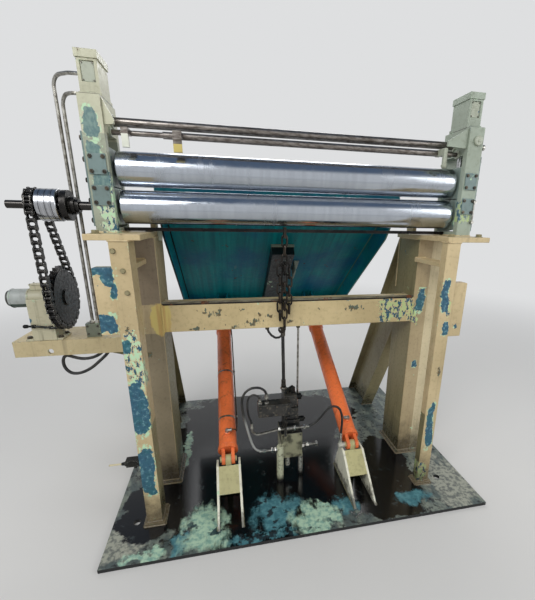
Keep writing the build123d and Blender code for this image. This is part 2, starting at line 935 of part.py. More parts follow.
def table_duct():
    """The shallow channel under the deck, with its end block, and the angle catch beside it."""
    x0, x1 = duct_centre - duct_w / 2, duct_centre + duct_w / 2
    duct = table_slab(duct_from, duct_to, duct_low, deck_under, x0, x1)
    duct -= table_slab(duct_from + duct_wall, duct_to - duct_wall, duct_low + duct_wall,
                       deck_under, x0 + duct_wall, x1 - duct_wall)
    end = table_slab(duct_from - duct_end_thk, duct_from, duct_low, deck_under, x0, x1)
    catch = table_slab(catch_from, catch_to, catch_low, deck_under, catch_x, catch_x + catch_thk)
    catch += table_slab(catch_from, catch_to, deck_under - catch_thk, deck_under,
                        catch_x, catch_x + catch_w)
    return Compound(children=[duct, end, catch])


# Table cylinders
def along(distance):
    """(y, z) of a point on a cylinder's axis, from its base pin."""
    return (cyl_base_y + distance * cos(cyl_lean), cyl_base_z + distance * sin(cyl_lean))


def axis_rod(x, diameter, start, end):
    y, z = along(start)
    plane = Plane(origin=(x, y, z), x_dir=(1, 0, 0), z_dir=(0, cos(cyl_lean), sin(cyl_lean)))
    return extrude(plane * Circle(diameter / 2), end - start)


def fork_ear(x0, x1):
    """One cheek of the rear fork, rounded about the base pin."""
    half = cyl_fork_w / 2
    y, z = along(0)
    reach = cyl_tube_from - cyl_base_cap / 2
    outline = []
    for u, v in ((0, -half), (reach, -half), (reach, half), (0, half)):
        outline.append((y + u * cos(cyl_lean) - v * sin(cyl_lean),
                        z + u * sin(cyl_lean) + v * cos(cyl_lean)))
    ear = rod_x(cyl_fork_w, x0, x1, y, z) + profile_x(outline, x0, x1)
    return ear - rod_x(cyl_pin_d + 2 * pin_fit, x0, x1, y, z)


def cylinder_barrel(x):
    """The barrel with its rear fork, base cap and gland."""
    tube = axis_rod(x, cyl_bore_d, cyl_tube_from, cyl_tube_to)
    tube += axis_rod(x, cyl_gland_d, cyl_tube_to, cyl_tube_to + cyl_gland_len)
    tube += axis_rod(x, cyl_gland_d, cyl_tube_from - cyl_base_cap, cyl_tube_from)
    half = cyl_fork_gap / 2
    for sign in (-1, 1):
        tube += fork_ear(x + sign * half, x + sign * (half + cyl_fork_thk))
    return tube - axis_rod(x, cyl_rod_d + 2 * pin_fit, cyl_bore_from, cyl_tube_to + cyl_gland_len)


def cylinder_rod(x):
    """The rod with the eye that the table's lugs take."""
    rod = axis_rod(x, cyl_rod_d, cyl_bore_from + cyl_bore_end, cyl_length - cyl_rod_d / 2)
    half = lug_gap / 2 - cyl_eye_gap
    return rod + rod_x(cyl_eye_d, x - half, x + half, lug_y, lug_z)


def cylinder_bracket(x, ported):
    """The floor bracket: two side plates, a cover, a foot, a centre tang and the pin."""
    half = bracket_w / 2
    y1, z1 = cyl_base_y - bracket_head_front, cyl_base_z - bracket_drop
    outline = [(bracket_front, plate_thk), (y1, z1), (cyl_base_y + bracket_head_rear, z1),
               (bracket_rear, plate_thk)]
    bracket = profile_x(outline, x - half, x - half + bracket_plate)
    bracket += profile_x(outline, x + half, x + half - bracket_plate)
    lean = atan2(z1 - plate_thk, y1 - bracket_front)
    y0, z0 = y1 - bracket_cover_len * cos(lean), z1 - bracket_cover_len * sin(lean)
    dy, dz = bracket_cover * sin(lean), -bracket_cover * cos(lean)
    bracket += profile_x([(y0, z0), (y1, z1), (y1 + dy, z1 + dz), (y0 + dy, z0 + dz)],
                         x - half, x + half)
    bracket += box(x - half, x + half, cyl_base_y - tang_foot_front, bracket_rear,
                   plate_thk, plate_thk + bracket_foot)
    t = cyl_fork_gap / 2 - tang_clear
    r = tang_w / 2
    bracket += profile_x([(cyl_base_y - tang_foot_front, plate_thk), (cyl_base_y - r, cyl_base_z),
                          (cyl_base_y + r, cyl_base_z), (cyl_base_y + tang_foot_rear, plate_thk)],
                         x - t, x + t)
    bracket += rod_x(tang_w, x - t, x + t, cyl_base_y, cyl_base_z)
    pin_half = cyl_fork_gap / 2 + cyl_fork_thk + cyl_pin_past
    bracket += rod_x(cyl_pin_d, x - pin_half, x + pin_half, cyl_base_y, cyl_base_z)
    if ported:
        # The swivel that feeds the cylinder through its base pin
        bracket += rod_x(swivel_d, x - swivel_to, x - pin_half, cyl_base_y, cyl_base_z)
        bracket += rod_z(swivel_stub_d, x - swivel_stub_x, cyl_base_y, cyl_base_z,
                         cyl_base_z + swivel_stub_len)
    return bracket


# Valve stack and its steel pipes
def valve_stack():
    """The manifold on its two pipe legs, with the valves bolted on top and at the side."""
    stack = box(manifold_left, manifold_right, manifold_front, manifold_rear, manifold_low, manifold_top)
    stack += rod_z(stack_leg_d, stack_leg_x, stack_leg_y, plate_thk, tee_top)
    stack += rod_z(small_leg_d, small_leg_x, small_leg_y, plate_thk, manifold_low)
    stack += rod_z(plug_d, plug_x, small_leg_y, plug_low, manifold_low)
    for i, (low, high) in enumerate(zip(valve_steps, valve_steps[1:])):
        narrow = i * valve_step_in
        stack += box(valve_left, valve_right - narrow, valve_front + narrow, manifold_rear, low, high)
    stack += box(side_valve_left, side_valve_right, side_valve_front, side_valve_rear,
                 side_valve_low, side_valve_top)
    for x, top in ((outer_nipple_x, outer_nipple_top), (inner_nipple_x, inner_nipple_top)):
        stack += rod_z(nipple_d, x, stack_leg_y, side_valve_top, top)
    # The tee that the high pipe runs through, on the front of the lowest valve
    return stack + box(high_tee_left, high_tee_right, high_pipe_y - high_tee_d / 2, manifold_front,
                       manifold_top - high_tee_d, high_pipe_z + high_tee_d / 2)


def steel_pipes():
    """The rigid pipes on the stack, and the two from the shelf to the left lift head."""
    low = rod_x(pipe_d, low_pipe_from, stack_leg_x - stack_leg_d / 2, stack_leg_y, low_pipe_z)
    stub = rod_x(pipe_d, manifold_right, right_stub_to, right_stub_y, low_pipe_z)
    stub += rod_x(fitting_d, manifold_right, manifold_right + fitting_len, right_stub_y, low_pipe_z)
    high = rod_x(pipe_d, high_tee_right, high_pipe_to, high_pipe_y, high_pipe_z)
    high += rod_x(fitting_d, high_tee_right, high_tee_right + fitting_len, high_pipe_y, high_pipe_z)
    feed = pipe(pipe_d, high_pipe_bend, [short_jumper[-1], *high_feed,
                                         (high_tee_left, high_pipe_y, high_pipe_z)])
    riser = rod_z(riser_pipe_d, riser_pipe_x, riser_y, manifold_top, beam_top - beam_h)
    pipes = [low, stub, high, feed, riser]
    port_x = -(housing_mid + head_w / 2 + head_port_len)
    for x, z in ((head_pipe_left, head_port_high), (head_pipe_right, head_port_low)):
        pipes.append(pipe(pipe_d, head_pipe_bend, [
            (x, head_pipe_y, shelf_top + port_block_h), (x, head_pipe_y, z),
            (head_pipe_turn_x, head_port_y, z), (port_x, head_port_y, z)]))
    return Compound(children=pipes)


# Hose routes, point by point as they hang
long_jumper = [(inner_nipple_x, stack_leg_y, inner_nipple_top), (-195, -60, 622), (-210, -60, 649),
               (-243, -62, 667), (-291, -64, 664), (-328, -64, 628), (-338, -62, 572), (-328, -60, 490),
               (-309, -58, 400), (-289, -60, 312), (-272, -60, 267), (-244, stack_leg_y, low_pipe_z),
               (low_pipe_from, stack_leg_y, low_pipe_z)]
short_jumper = [(outer_nipple_x, stack_leg_y, outer_nipple_top), (outer_nipple_x, stack_leg_y, 594),
                (-249, -60, 615), (-273, -60, 622), (-294, -60, 610), (-304, -60, 584),
                (-306, -61, 543), (-301, -62, 490), (-283, -64, 444), (-283, -64, 408)]
high_feed = [(-283, -64, 384), (-258, high_pipe_y, 366), (-225, high_pipe_y, 368),
             (-135, high_pipe_y, high_pipe_z)]
swivel_x = cyl_x[1] - swivel_stub_x
right_feed = [(high_pipe_to, high_pipe_y, high_pipe_z), (60, high_pipe_y, high_pipe_z), (100, -70, 406),
              (136, -74, 450), (159, -79, 487), (182, -84, 510), (212, -88, 515), (238, -93, 499),
              (252, -97, 463), (258, -99, 410), (swivel_x, cyl_base_y, 340),
              (swivel_x, cyl_base_y, cyl_base_z + swivel_stub_len)]
riser_route = [(-76, riser_y, valve_steps[-1]), (-76, riser_y, 700), (-80, riser_y, 860),
               (-80, riser_y, beam_top - beam_h)]
clip_under = shelf_top - shelf_plate - clip_h
# The loop under the shelf, with each height measured down from the clip
shelf_loop = [(x, y, clip_under - drop) for x, y, drop in (
    (-1040, 72, 0), (-1040, 72, 30), (-1056, 72, 54), (-1088, 72, 72), (-1124, 72, 80),
    (-1160, 72, 78), (-1196, 72, 64), (-1222, 73, 54), (-1241, 74, 70), (-1245, 74, 108),
    (-1232, 73, 142), (-1204, 72, 162), (-1160, 72, 158), (-1112, 72, 134), (-1066, 72, 94),
    (-1030, 72, 62), (-1010, 72, 30), (-1010, 72, 0))]

os.makedirs("parts", exist_ok=True)
save("base_plate", base_plate())
for side, word in ((-1, "left"), (1, "right")):
    post = tube_post(side, front_post_in[side], front_post_w, front_post_y, front_post_d[side])
    if side < 0:
        post = Compound(children=[post, limit_switch()])
    save(f"front_post_{word}", post)
    save(f"rear_post_{word}", tube_post(side, rear_post_in, rear_post_w, rear_post_y, rear_post_d))
    save(f"saddle_{word}", saddle(side))
    save(f"post_tie_{word}", tie_plate(side))
    save(f"side_box_{word}", side_box(side))
    save(f"brace_{word}", brace(side))
    save(f"roll_housing_{word}", housing(side))
    save(f"lift_head_{word}", head(side))
    save(f"lower_block_{word}", bearing_block(side, lower_z))
    save(f"upper_block_{word}", bearing_block(side, upper_z))
    save(f"lift_rod_{word}", lift_rod(side))
    save(f"hinge_ear_{word}", hinge_ear(side))
save("cross_beam", cross_beam())
save("beam_angle", beam_angle())
save("upper_tie_bar", rod_x(upper_tie_d, -housing_in, housing_in, upper_tie_y, upper_tie_z))
save("lower_tie_rod", lower_tie_rod())
save("chain_bar", box(-housing_in, housing_in, chain_bar_y, chain_bar_y + chain_bar_d,
                      chain_bar_z, chain_bar_z + chain_bar_h))
save("hanging_chain", hanging_chain())
save("lower_roll", lower_roll())
save("upper_roll", upper_roll())
save("roll_sprocket", roll_sprocket())
save("drive_sprocket", drive_sprocket())
save("clutch_drum", clutch_drum())
save("coupling_disc", coupling_disc())
save("drive_chain", drive_chain())
save("drive_shelf", drive_shelf())
save("motor_pedestal", motor_pedestal())
save("drive_motor", drive_motor())
save("table_deck", table_slab(-table_lip, table_far, deck_under, deck_rise, table_left, table_right))
save("table_side_left", side_bar(table_left, table_left + side_bar_thk, -(ear_in + ear_thk)))
save("table_side_right", side_bar(table_right, table_right - side_bar_thk, ear_in + ear_thk))
save("table_end_bars", table_end_bars())
save("table_lugs", table_lugs())
save("table_duct", table_duct())
for x, word in zip(cyl_x, ("left", "right")):
    save(f"cylinder_bracket_{word}", cylinder_bracket(x, word == "right"))
    save(f"cylinder_barrel_{word}", cylinder_barrel(x))
    save(f"cylinder_rod_{word}", cylinder_rod(x))
save("valve_stack", valve_stack())
save("steel_pipes", steel_pipes())
save("jumper_hose_long", hose("jumper_hose_long", long_jumper_d, long_jumper))
save("jumper_hose_short", hose("jumper_hose_short", short_jumper_d, short_jumper))
save("cylinder_hose_right", hose("cylinder_hose_right", right_feed_d, right_feed))
save("riser_hose", hose("riser_hose", riser_hose_d, riser_route))
save("shelf_hose", hose("shelf_hose", shelf_hose_d, shelf_loop))
print("lower_z", lower_z, "upper_z", upper_z, "drive_z", drive_z, "centres", centres)
print("lug", lug_y, lug_z, "length", cyl_length, "lug_s", lug_s)
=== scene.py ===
import bmesh
import bpy
import random
from math import asin, atan2, cos, hypot, pi, radians, sin
from mathutils import Matrix, Vector


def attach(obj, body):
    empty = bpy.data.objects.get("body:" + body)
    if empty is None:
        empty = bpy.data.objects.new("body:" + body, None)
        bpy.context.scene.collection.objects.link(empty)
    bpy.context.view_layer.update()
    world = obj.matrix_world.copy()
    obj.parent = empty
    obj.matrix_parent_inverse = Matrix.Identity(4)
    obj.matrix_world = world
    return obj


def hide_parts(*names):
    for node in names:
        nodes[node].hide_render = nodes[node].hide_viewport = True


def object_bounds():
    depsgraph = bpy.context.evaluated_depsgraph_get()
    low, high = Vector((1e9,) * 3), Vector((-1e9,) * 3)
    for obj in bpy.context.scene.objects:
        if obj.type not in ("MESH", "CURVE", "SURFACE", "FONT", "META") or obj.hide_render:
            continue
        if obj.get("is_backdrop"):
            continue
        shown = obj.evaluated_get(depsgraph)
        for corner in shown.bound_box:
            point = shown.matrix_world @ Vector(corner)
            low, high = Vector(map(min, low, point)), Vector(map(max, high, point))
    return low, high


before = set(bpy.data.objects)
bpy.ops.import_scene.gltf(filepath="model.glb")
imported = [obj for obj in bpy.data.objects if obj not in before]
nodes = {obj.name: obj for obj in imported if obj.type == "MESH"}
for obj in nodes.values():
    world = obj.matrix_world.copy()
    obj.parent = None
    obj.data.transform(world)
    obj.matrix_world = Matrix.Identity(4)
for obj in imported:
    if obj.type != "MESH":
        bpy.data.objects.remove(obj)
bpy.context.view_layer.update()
rng = random.Random(7)

# Directions, then places and slopes that several pieces share, in millimetres and radians
X, Y, Z = Vector((1, 0, 0)), Vector((0, 1, 0)), Vector((0, 0, 1))
roll_z, upper_z = 1617, 1779
drive_y, drive_z, motor_z = 105, 1178.2129, 1178.2
hinge_y, hinge_z, table_slope = 195, 1618, radians(36.6)
cylinder_x, cylinder_y, cylinder_z, cylinder_lean = (-425, 325), -100, 247, radians(26.1)
table_up, table_under = (0, 0.5962, 0.8028), (0, -0.5962, -0.8028)


# Colours and shader graphs
def rgb(r, g, b):
    """A colour written as it looks, 0 to 255, as the linear values that shaders take."""
    values = []
    for c in (r, g, b):
        c /= 255
        values.append(c / 12.92 if c <= 0.04045 else ((c + 0.055) / 1.055) ** 2.4)
    return (*values, 1.0)


class Graph:
    """A node tree whose nodes are made by short calls, each returning its output socket."""

    def __init__(self, tree):
        self.tree = tree

    def add(self, kind):
        return self.tree.nodes.new("ShaderNode" + kind)

    def feed(self, socket, value):
        if isinstance(value, bpy.types.NodeSocket):
            self.tree.links.new(value, socket)
        else:
            socket.default_value = value

    def fill(self, node, values):
        """A node whose first inputs are fed in their order."""
        for socket, value in zip(node.inputs, values):
            self.feed(socket, value)
        return node

    def math(self, kind, a, b=0.0, c=0.0, clamp=False):
        node = self.add("Math")
        node.operation = kind
        node.use_clamp = clamp
        return self.fill(node, (a, b, c)).outputs[0]

    def times(self, a, b):
        return self.math("MULTIPLY", a, b)

    def sway(self, noise, by, value):
        """A value pushed up and down by noise that lies about 0.5."""
        return self.math("MULTIPLY_ADD", self.math("SUBTRACT", noise, 0.5), by, value)

    def step(self, value, low, high, out_low=0.0, out_high=1.0):
        """A smooth step of a value between two levels."""
        node = self.add("MapRange")
        node.interpolation_type = "SMOOTHSTEP"
        return self.fill(node, (value, low, high, out_low, out_high)).outputs[0]

    def mix(self, factor, a, b, blend="MIX"):
        node = self.add("Mix")
        node.data_type = "RGBA"
        node.blend_type = blend
        for index, value in ((0, factor), (6, a), (7, b)):
            self.feed(node.inputs[index], value)
        return node.outputs[2]

    def fade(self, value, low, high, a, b, most=1.0):
        """From colour a to colour b where a value climbs from low to high."""
        return self.mix(self.step(value, low, high, 0.0, most), a, b)

    def part(self, place, letter):
        """One coordinate of a place."""
        return self.fill(self.add("SeparateXYZ"), (place,)).outputs["XYZ".index(letter)]

    def blend(self, factor, a, b):
        """A mix of two shaders."""
        return self.fill(self.add("MixShader"), (factor, a, b)).outputs[0]


class Shade(Graph):
    """A material's graph, about its Principled BSDF."""

    def __init__(self, name, metallic=0.0, roughness=0.5, specular=0.5):
        self.mat = bpy.data.materials.new(name)
        self.mat.use_nodes = True
        super().__init__(self.mat.node_tree)
        self.bsdf = self.tree.nodes["Principled BSDF"]
        self.bsdf.inputs["Metallic"].default_value = metallic
        self.bsdf.inputs["Roughness"].default_value = roughness
        self.bsdf.inputs["Specular IOR Level"].default_value = specular
        coords = self.add("TexCoord")
        self.place = coords.outputs["Object"]
        self.facing = coords.outputs["Normal"]

    def vector(self, kind, a, b=(0, 0, 0), c=(0, 0, 0)):
        node = self.add("VectorMath")
        node.operation = kind
        self.fill(node, (a, b, c))
        return node.outputs["Value" if kind in ("LENGTH", "DOT_PRODUCT") else "Vector"]

    def noise(self, scale, detail=4, rough=0.55, stretch=(1, 1, 1), shift=0.0, output="Fac"):
        """Fractal noise about 0.5, in the object's own metres."""
        node = self.add("TexNoise")
        node.inputs["Scale"].default_value = scale
        node.inputs["Detail"].default_value = detail
        node.inputs["Roughness"].default_value = rough
        placed = self.vector("MULTIPLY_ADD", self.place, stretch, (shift, shift * 0.7, -shift))
        self.feed(node.inputs["Vector"], placed)
        return node.outputs[output]

    def ragged(self, coarse=0.05, fine=0.02, shift=0.0):
        """The place pushed about by noise, so that worn patches get torn outlines."""
        moved = self.place
        for scale, push in ((11, coarse), (46, fine)):
            swirl = self.noise(scale, 4, 0.6, shift=shift + scale, output="Color")
            swirl = self.vector("SUBTRACT", swirl, (0.5, 0.5, 0.5))
            moved = self.vector("MULTIPLY_ADD", swirl, (push, push, push), moved)
        return moved

    def axis(self, letter):
        return self.part(self.place, letter)

    def faces(self, way, low=0.90, high=0.97):
        """1 where the surface looks along a direction."""
        return self.step(self.vector("DOT_PRODUCT", self.facing, way), low, high)

    def spots(self, rows, place=None, square=False):
        """The nearest of some soft ellipsoids: 1 at a centre, 0 at its rim, below 0 outside."""
        found = None
        for x, y, z, rx, ry, rz in rows:
            scaled = self.vector("MULTIPLY_ADD", place or self.place, (1000 / rx, 1000 / ry, 1000 / rz),
                (-x / rx, -y / ry, -z / rz))
            reach = self.vector("LENGTH", scaled)
            if square:
                twice = self.vector("MULTIPLY", scaled, scaled)
                reach = self.math("POWER", self.vector("DOT_PRODUCT", twice, twice), 0.25)
            level = self.math("SUBTRACT", 1.0, reach)
            found = level if found is None else self.math("MAXIMUM", found, level)
        return found

    def inside(self, limits):
        """1 where the place lies within each (axis, low, high)."""
        found = None
        for letter, low, high in limits:
            level = self.math("COMPARE", self.axis(letter), (low + high) / 2, (high - low) / 2)
            found = level if found is None else self.times(found, level)
        return found

    def edges(self, radius=0.005):
        """How near a point is to an edge of its solid."""
        bevel = self.add("Bevel")
        bevel.samples = 4
        bevel.inputs["Radius"].default_value = radius
        normal = self.add("NewGeometry").outputs["True Normal"]
        same = self.vector("DOT_PRODUCT", bevel.outputs["Normal"], normal)
        return self.step(same, 0.995, 0.8)

    def finish(self, colour, roughness=None, metallic=None, height=None, strength=0.4, depth=0.002):
        for socket, value in (("Base Color", colour), ("Roughness", roughness), ("Metallic", metallic)):
            if value is not None:
                self.feed(self.bsdf.inputs[socket], value)
        if height is not None:
            bump = self.add("Bump")
            bump.inputs["Strength"].default_value = strength
            bump.inputs["Distance"].default_value = depth
            self.feed(bump.inputs["Height"], height)
            self.feed(self.bsdf.inputs["Normal"], bump.outputs["Normal"])
        return self.mat


blue_coat = rgb(42, 88, 110)
teal_coat = rgb(34, 82, 84)
mint_coat = rgb(182, 214, 176)
rust = rgb(92, 56, 34)
dark_steel = rgb(44, 42, 40)
oil_black = rgb(10, 10, 11)

# Worn places, as soft ellipsoids: middle x, y, z and the three half sizes, in millimetres
blue_places = [(-893, -250, 1356, 50, 40, 22), (-874, -250, 1328, 26, 40, 38),
    (-860, -250, 1285, 11, 40, 45), (-906, -250, 1128, 36, 40, 44), (-880, -250, 1100, 22, 40, 22),
    (-848, -264, 1018, 26, 30, 34), (-826, -264, 700, 44, 30, 135), (-814, -264, 640, 34, 30, 80),
    (-822, -264, 350, 36, 30, 135), (-853, -200, 660, 20, 60, 160), (-853, -210, 310, 20, 50, 100),
    (777, 47, 1110, 26, 30, 72), (787, 47, 688, 18, 30, 26), (734, -264, 1205, 24, 30, 80),
    (752, -264, 1022, 18, 30, 38), (744, -264, 423, 21, 30, 145), (-897, -111, 1942, 28, 20, 56),
    (-896, -111, 1818, 32, 30, 50), (-886, -111, 1722, 30, 30, 60), (-905, 295, 905, 50, 50, 50),
    (885, 220, 700, 30, 60, 120), (885, 120, 1280, 30, 50, 70)]
mint_places = [(-812, -264, 965, 40, 30, 150), (-790, -240, 880, 30, 50, 90), (-785, -264, 742, 14, 20, 32),
    (600, 47, 1062, 125, 30, 80), (705, 47, 1050, 36, 30, 85), (-862, -111, 1640, 60, 50, 100),
    (748, 47, 1020, 22, 20, 60), (860, -111, 1620, 50, 50, 70), (760, -264, 1150, 14, 20, 50),
    (719, -240, 100, 40, 50, 70), (-840, -111, 1530, 60, 50, 30)]
yellow_places = [(-738, 47, 1056, 50, 30, 98)]
fleck_places = [(-470, 47, 1082, 60, 20, 24), (-300, 47, 1090, 20, 20, 14), (-215, 47, 1062, 14, 20, 16),
    (-250, 47, 1014, 50, 20, 26), (-345, 47, 1004, 50, 20, 18), (-150, 47, 1050, 30, 20, 22),
    (-50, 47, 1020, 30, 20, 12), (120, 47, 1085, 14, 20, 10), (340, 47, 1080, 50, 20, 20),
    (-825, -264, 1100, 12, 20, 30), (-590, 47, 992, 60, 20, 10), (748, -264, 780, 10, 20, 40),
    (-814, 47, 860, 20, 20, 20), (-900, 47, 900, 20, 20, 20)]


def paint(name, coat, worn=0.0, grime=0.25, patchy=True, under=blue_coat, shift=0.0, gloss=0.42, oily=0.30,
          zones=(), painted_beam_shade=None):
    """Old machine enamel: chips down to the coats below, rust at the deepest, runs of grime."""
    s = Shade(name)
    tone = s.noise(2.2, 5, 0.6, shift=shift)
    fine = s.noise(55, 5, 0.6, shift=shift + 3)
    flaky = s.noise(15, 9, 0.68, shift=shift + 11)
    edge = s.edges()
    colour = coat
    for other, *limits in zones:
        colour = s.mix(s.inside(limits), colour, other)
    # The top of the left barrel darkened red-brown: a painted shade of the beam above it
    if painted_beam_shade:
        colour = s.mix(s.times(s.step(s.axis("Z"), *painted_beam_shade), s.step(s.axis("X"), -0.2, -0.3)),
            colour, rgb(96, 46, 44))
    tint = s.fade(tone, 0.35, 0.68, (1, 1, 1, 1), (0.78, 0.77, 0.74, 1))
    colour = s.mix(1.0, colour, tint, "MULTIPLY")
    colour = s.fade(fine, 0.5, 0.72, colour, s.mix(1.0, colour, (0.6, 0.58, 0.54, 1), "MULTIPLY"), 0.4)
    runs = s.noise(1.0, 6, 0.6, stretch=(34, 34, 1.6), shift=shift + 5)
    dirt = s.times(s.step(runs, 0.5, 0.74), s.step(s.noise(3.1, 4, 0.6, shift=shift + 8), 0.35, 0.65))
    colour = s.mix(s.times(dirt, grime), colour, rgb(66, 56, 40))
    chipped = s.math("MULTIPLY_ADD", edge, 0.12, s.math("ADD", flaky, worn))
    lower = s.fade(s.noise(24, 6, 0.62, shift=shift + 2), 0.47, 0.51, under, mint_coat)
    small = s.step(chipped, 0.665, 0.675)
    colour = s.mix(small, colour, lower)
    raised = small
    if patchy:
        place = s.ragged(0.06, 0.022, shift)
        flecks = s.noise(52, 6, 0.66, stretch=(1, 1, 0.6), shift=shift + 17)
        mints = s.step(s.sway(flaky, 2.4, s.spots(mint_places, place)), 0.02, 0.05)
        flakes = s.fade(flecks, 0.455, 0.47, s.fade(fine, 0.45, 0.5, teal_coat, under), coat)
        mint = s.fade(s.axis("X"), 0.2, 0.4, mint_coat, rgb(180, 198, 138))
        flakes = s.fade(flecks, 0.505, 0.52, flakes, mint)
        colour = s.mix(mints, colour, flakes)
        dark = s.step(s.sway(flecks, 5.0, s.spots(fleck_places, place)), 0.35, 0.5)
        colour = s.mix(dark, colour, s.fade(fine, 0.45, 0.55, rgb(84, 96, 82), rgb(96, 80, 52)))
        rim = s.spots(blue_places, place, square=True)
        pale = s.step(rim, -0.22, -0.12)
        blues = s.step(s.sway(flaky, 0.9, rim), 0.0, 0.02)
        skin = s.fade(s.noise(9, 5, 0.6, shift=shift + 23), 0.42, 0.62, under, rgb(38, 96, 106))
        skin = s.fade(fine, 0.53, 0.64, skin, rgb(118, 160, 166), 0.6)
        skin = s.fade(fine, 0.46, 0.38, skin, rgb(24, 56, 70), 0.5)
        skin = s.fade(s.axis("Z"), 1.44, 1.5, skin,
            s.fade(flecks, 0.4, 0.6, rgb(86, 116, 116), rgb(116, 142, 134)))
        colour = s.mix(s.times(pale, s.step(flecks, 0.5, 0.53)), colour, mint_coat)
        colour = s.mix(blues, colour, skin)
        spray = s.step(s.sway(flaky, 0.8, s.spots(yellow_places, s.ragged(0.05, 0.02, 3),
            square=True)), 0.0, 0.14, 0.0, 0.8)
        colour = s.mix(spray, colour, s.fade(runs, 0.45, 0.6, rgb(204, 186, 106), rgb(190, 156, 88)))
        raised = s.math("MAXIMUM", raised, s.math("MAXIMUM", mints, blues))
    deep = s.step(s.math("MULTIPLY_ADD", edge, 0.1, s.noise(19, 9, 0.68, shift=shift + 31)), 0.69, 0.7)
    colour = s.mix(deep, colour, s.fade(fine, 0.42, 0.6, dark_steel, rust))
    low = s.step(s.sway(flaky, 0.35, s.axis("Z")), oily, 0.03)
    colour = s.mix(s.times(low, 0.75), colour, oil_black)
    rough = s.step(s.math("ADD", fine, s.times(dirt, 0.3)), 0.3, 0.9, gloss - 0.06, gloss + 0.25)
    rough = s.math("SUBTRACT", rough, s.times(low, 0.2))
    height = s.math("SUBTRACT", s.times(fine, 0.25), s.math("MAXIMUM", raised, deep))
    return s.finish(colour, rough, height=height, strength=0.5, depth=0.0012)


def oily_plate():
    """Worn teal and mint floor plate under a spread of black oil, with painted reflections before the right
    front post.
    """
    s = Shade("plate_oil")
    broad = s.noise(1.8, 7, 0.6, shift=2)
    mottle = s.noise(8, 9, 0.68, shift=6)
    fine = s.noise(42, 6, 0.62, shift=1)
    flecks = s.noise(30, 8, 0.7, shift=9)
    place = s.ragged(0.17, 0.012, 4)
    soft = s.noise(13, 6, 0.55, stretch=(1.5, 0.6, 1), shift=21)
    base = s.fade(soft, 0.38, 0.64, rgb(72, 84, 82), rgb(122, 130, 118))
    base = s.fade(fine, 0.5, 0.66, base, rgb(48, 54, 54), 0.6)
    base = s.fade(flecks, 0.545, 0.6, base, rgb(28, 32, 34))

    def stains_and_reflections(rows):
        return s.spots([(x, y, 20, rx, ry, 1000) for x, y, rx, ry in rows], place)

    light = stains_and_reflections([(-545, -345, 130, 180), (35, -395, 160, 120), (-709, 356, 30, 220),
        (-860, -455, 140, 30), (100, -300, 50, 30)])
    # The teal patch at x 640, y -360 is a painted reflection of the right front post in the oil; the others
    # are worn teal paint
    teal = stains_and_reflections([(-180, -310, 170, 140), (-665, -400, 60, 80), (210, -345, 90, 70), (640, -360, 100, 50),
        (-280, -455, 220, 35)])
    # The pale patch at x 600, y -270 is a painted reflection, a light strip beside the teal one; the others
    # are dusty pale plate
    pale = stains_and_reflections([(905, -280, 160, 260), (600, -270, 100, 200), (920, 100, 100, 200),
        (-950, -360, 140, 140)])
    pool = stains_and_reflections([(-340, 280, 660, 900), (80, 20, 600, 420), (-860, -160, 200, 240), (620, -30, 150, 400),
        (450, -300, 260, 200), (100, 660, 520, 420), (-800, -100, 220, 220), (-340, -420, 300, 160)])
    torn = s.math("SUBTRACT", mottle, 0.5)
    drift = s.math("SUBTRACT", soft, 0.5)
    paler = s.step(s.math("MULTIPLY_ADD", drift, 1.6,
        s.math("MULTIPLY_ADD", torn, 0.5, light)), -0.05, 0.42)
    tealer = s.step(s.math("MULTIPLY_ADD", drift, 1.4,
        s.math("MULTIPLY_ADD", torn, 0.4, teal)), -0.08, 0.46)
    spread = s.sway(broad, 1.1, pool)
    oil = s.step(s.math("MULTIPLY_ADD", torn, 0.6, spread), 0.02, 0.14)
    film = s.fade(s.noise(16, 7, 0.68, shift=14), 0.58, 0.68, oil_black, rgb(44, 50, 50))
    dusty = s.fade(fine, 0.44, 0.6, rgb(150, 152, 138), rgb(96, 100, 94))
    base = s.fade(s.math("MULTIPLY_ADD", drift, 1.4, pale), 0.0, 0.3, base, dusty)
    colour = s.mix(oil, base, film)
    flaking = s.step(s.noise(17, 6, 0.58, shift=9), 0.56, 0.6)
    colour = s.mix(tealer, colour, s.mix(flaking, s.fade(fine, 0.4, 0.66, rgb(56, 106, 116),
        rgb(86, 136, 142)), rgb(26, 42, 48)))
    colour = s.mix(paler, colour, s.mix(s.times(flaking, s.step(soft, 0.4, 0.6, 1.0, 0.4)),
        s.fade(fine, 0.4, 0.65, rgb(170, 198, 172), rgb(120, 158, 144)), rgb(44, 66, 68)))
    colour = s.mix(s.faces(Z, 0.5, 0.2), colour, rgb(18, 20, 21))
    wet = s.math("SUBTRACT", oil, s.times(s.math("MAXIMUM", paler, tealer), 0.8), clamp=True)
    rough = s.step(wet, 0.0, 1.0, 0.46, 0.15)
    height = s.times(s.math("MULTIPLY_ADD", fine, 0.6, mottle), s.step(wet, 0.0, 1.0, 1.0, 0.2))
    return s.finish(colour, rough, height=height, strength=0.35, depth=0.003)


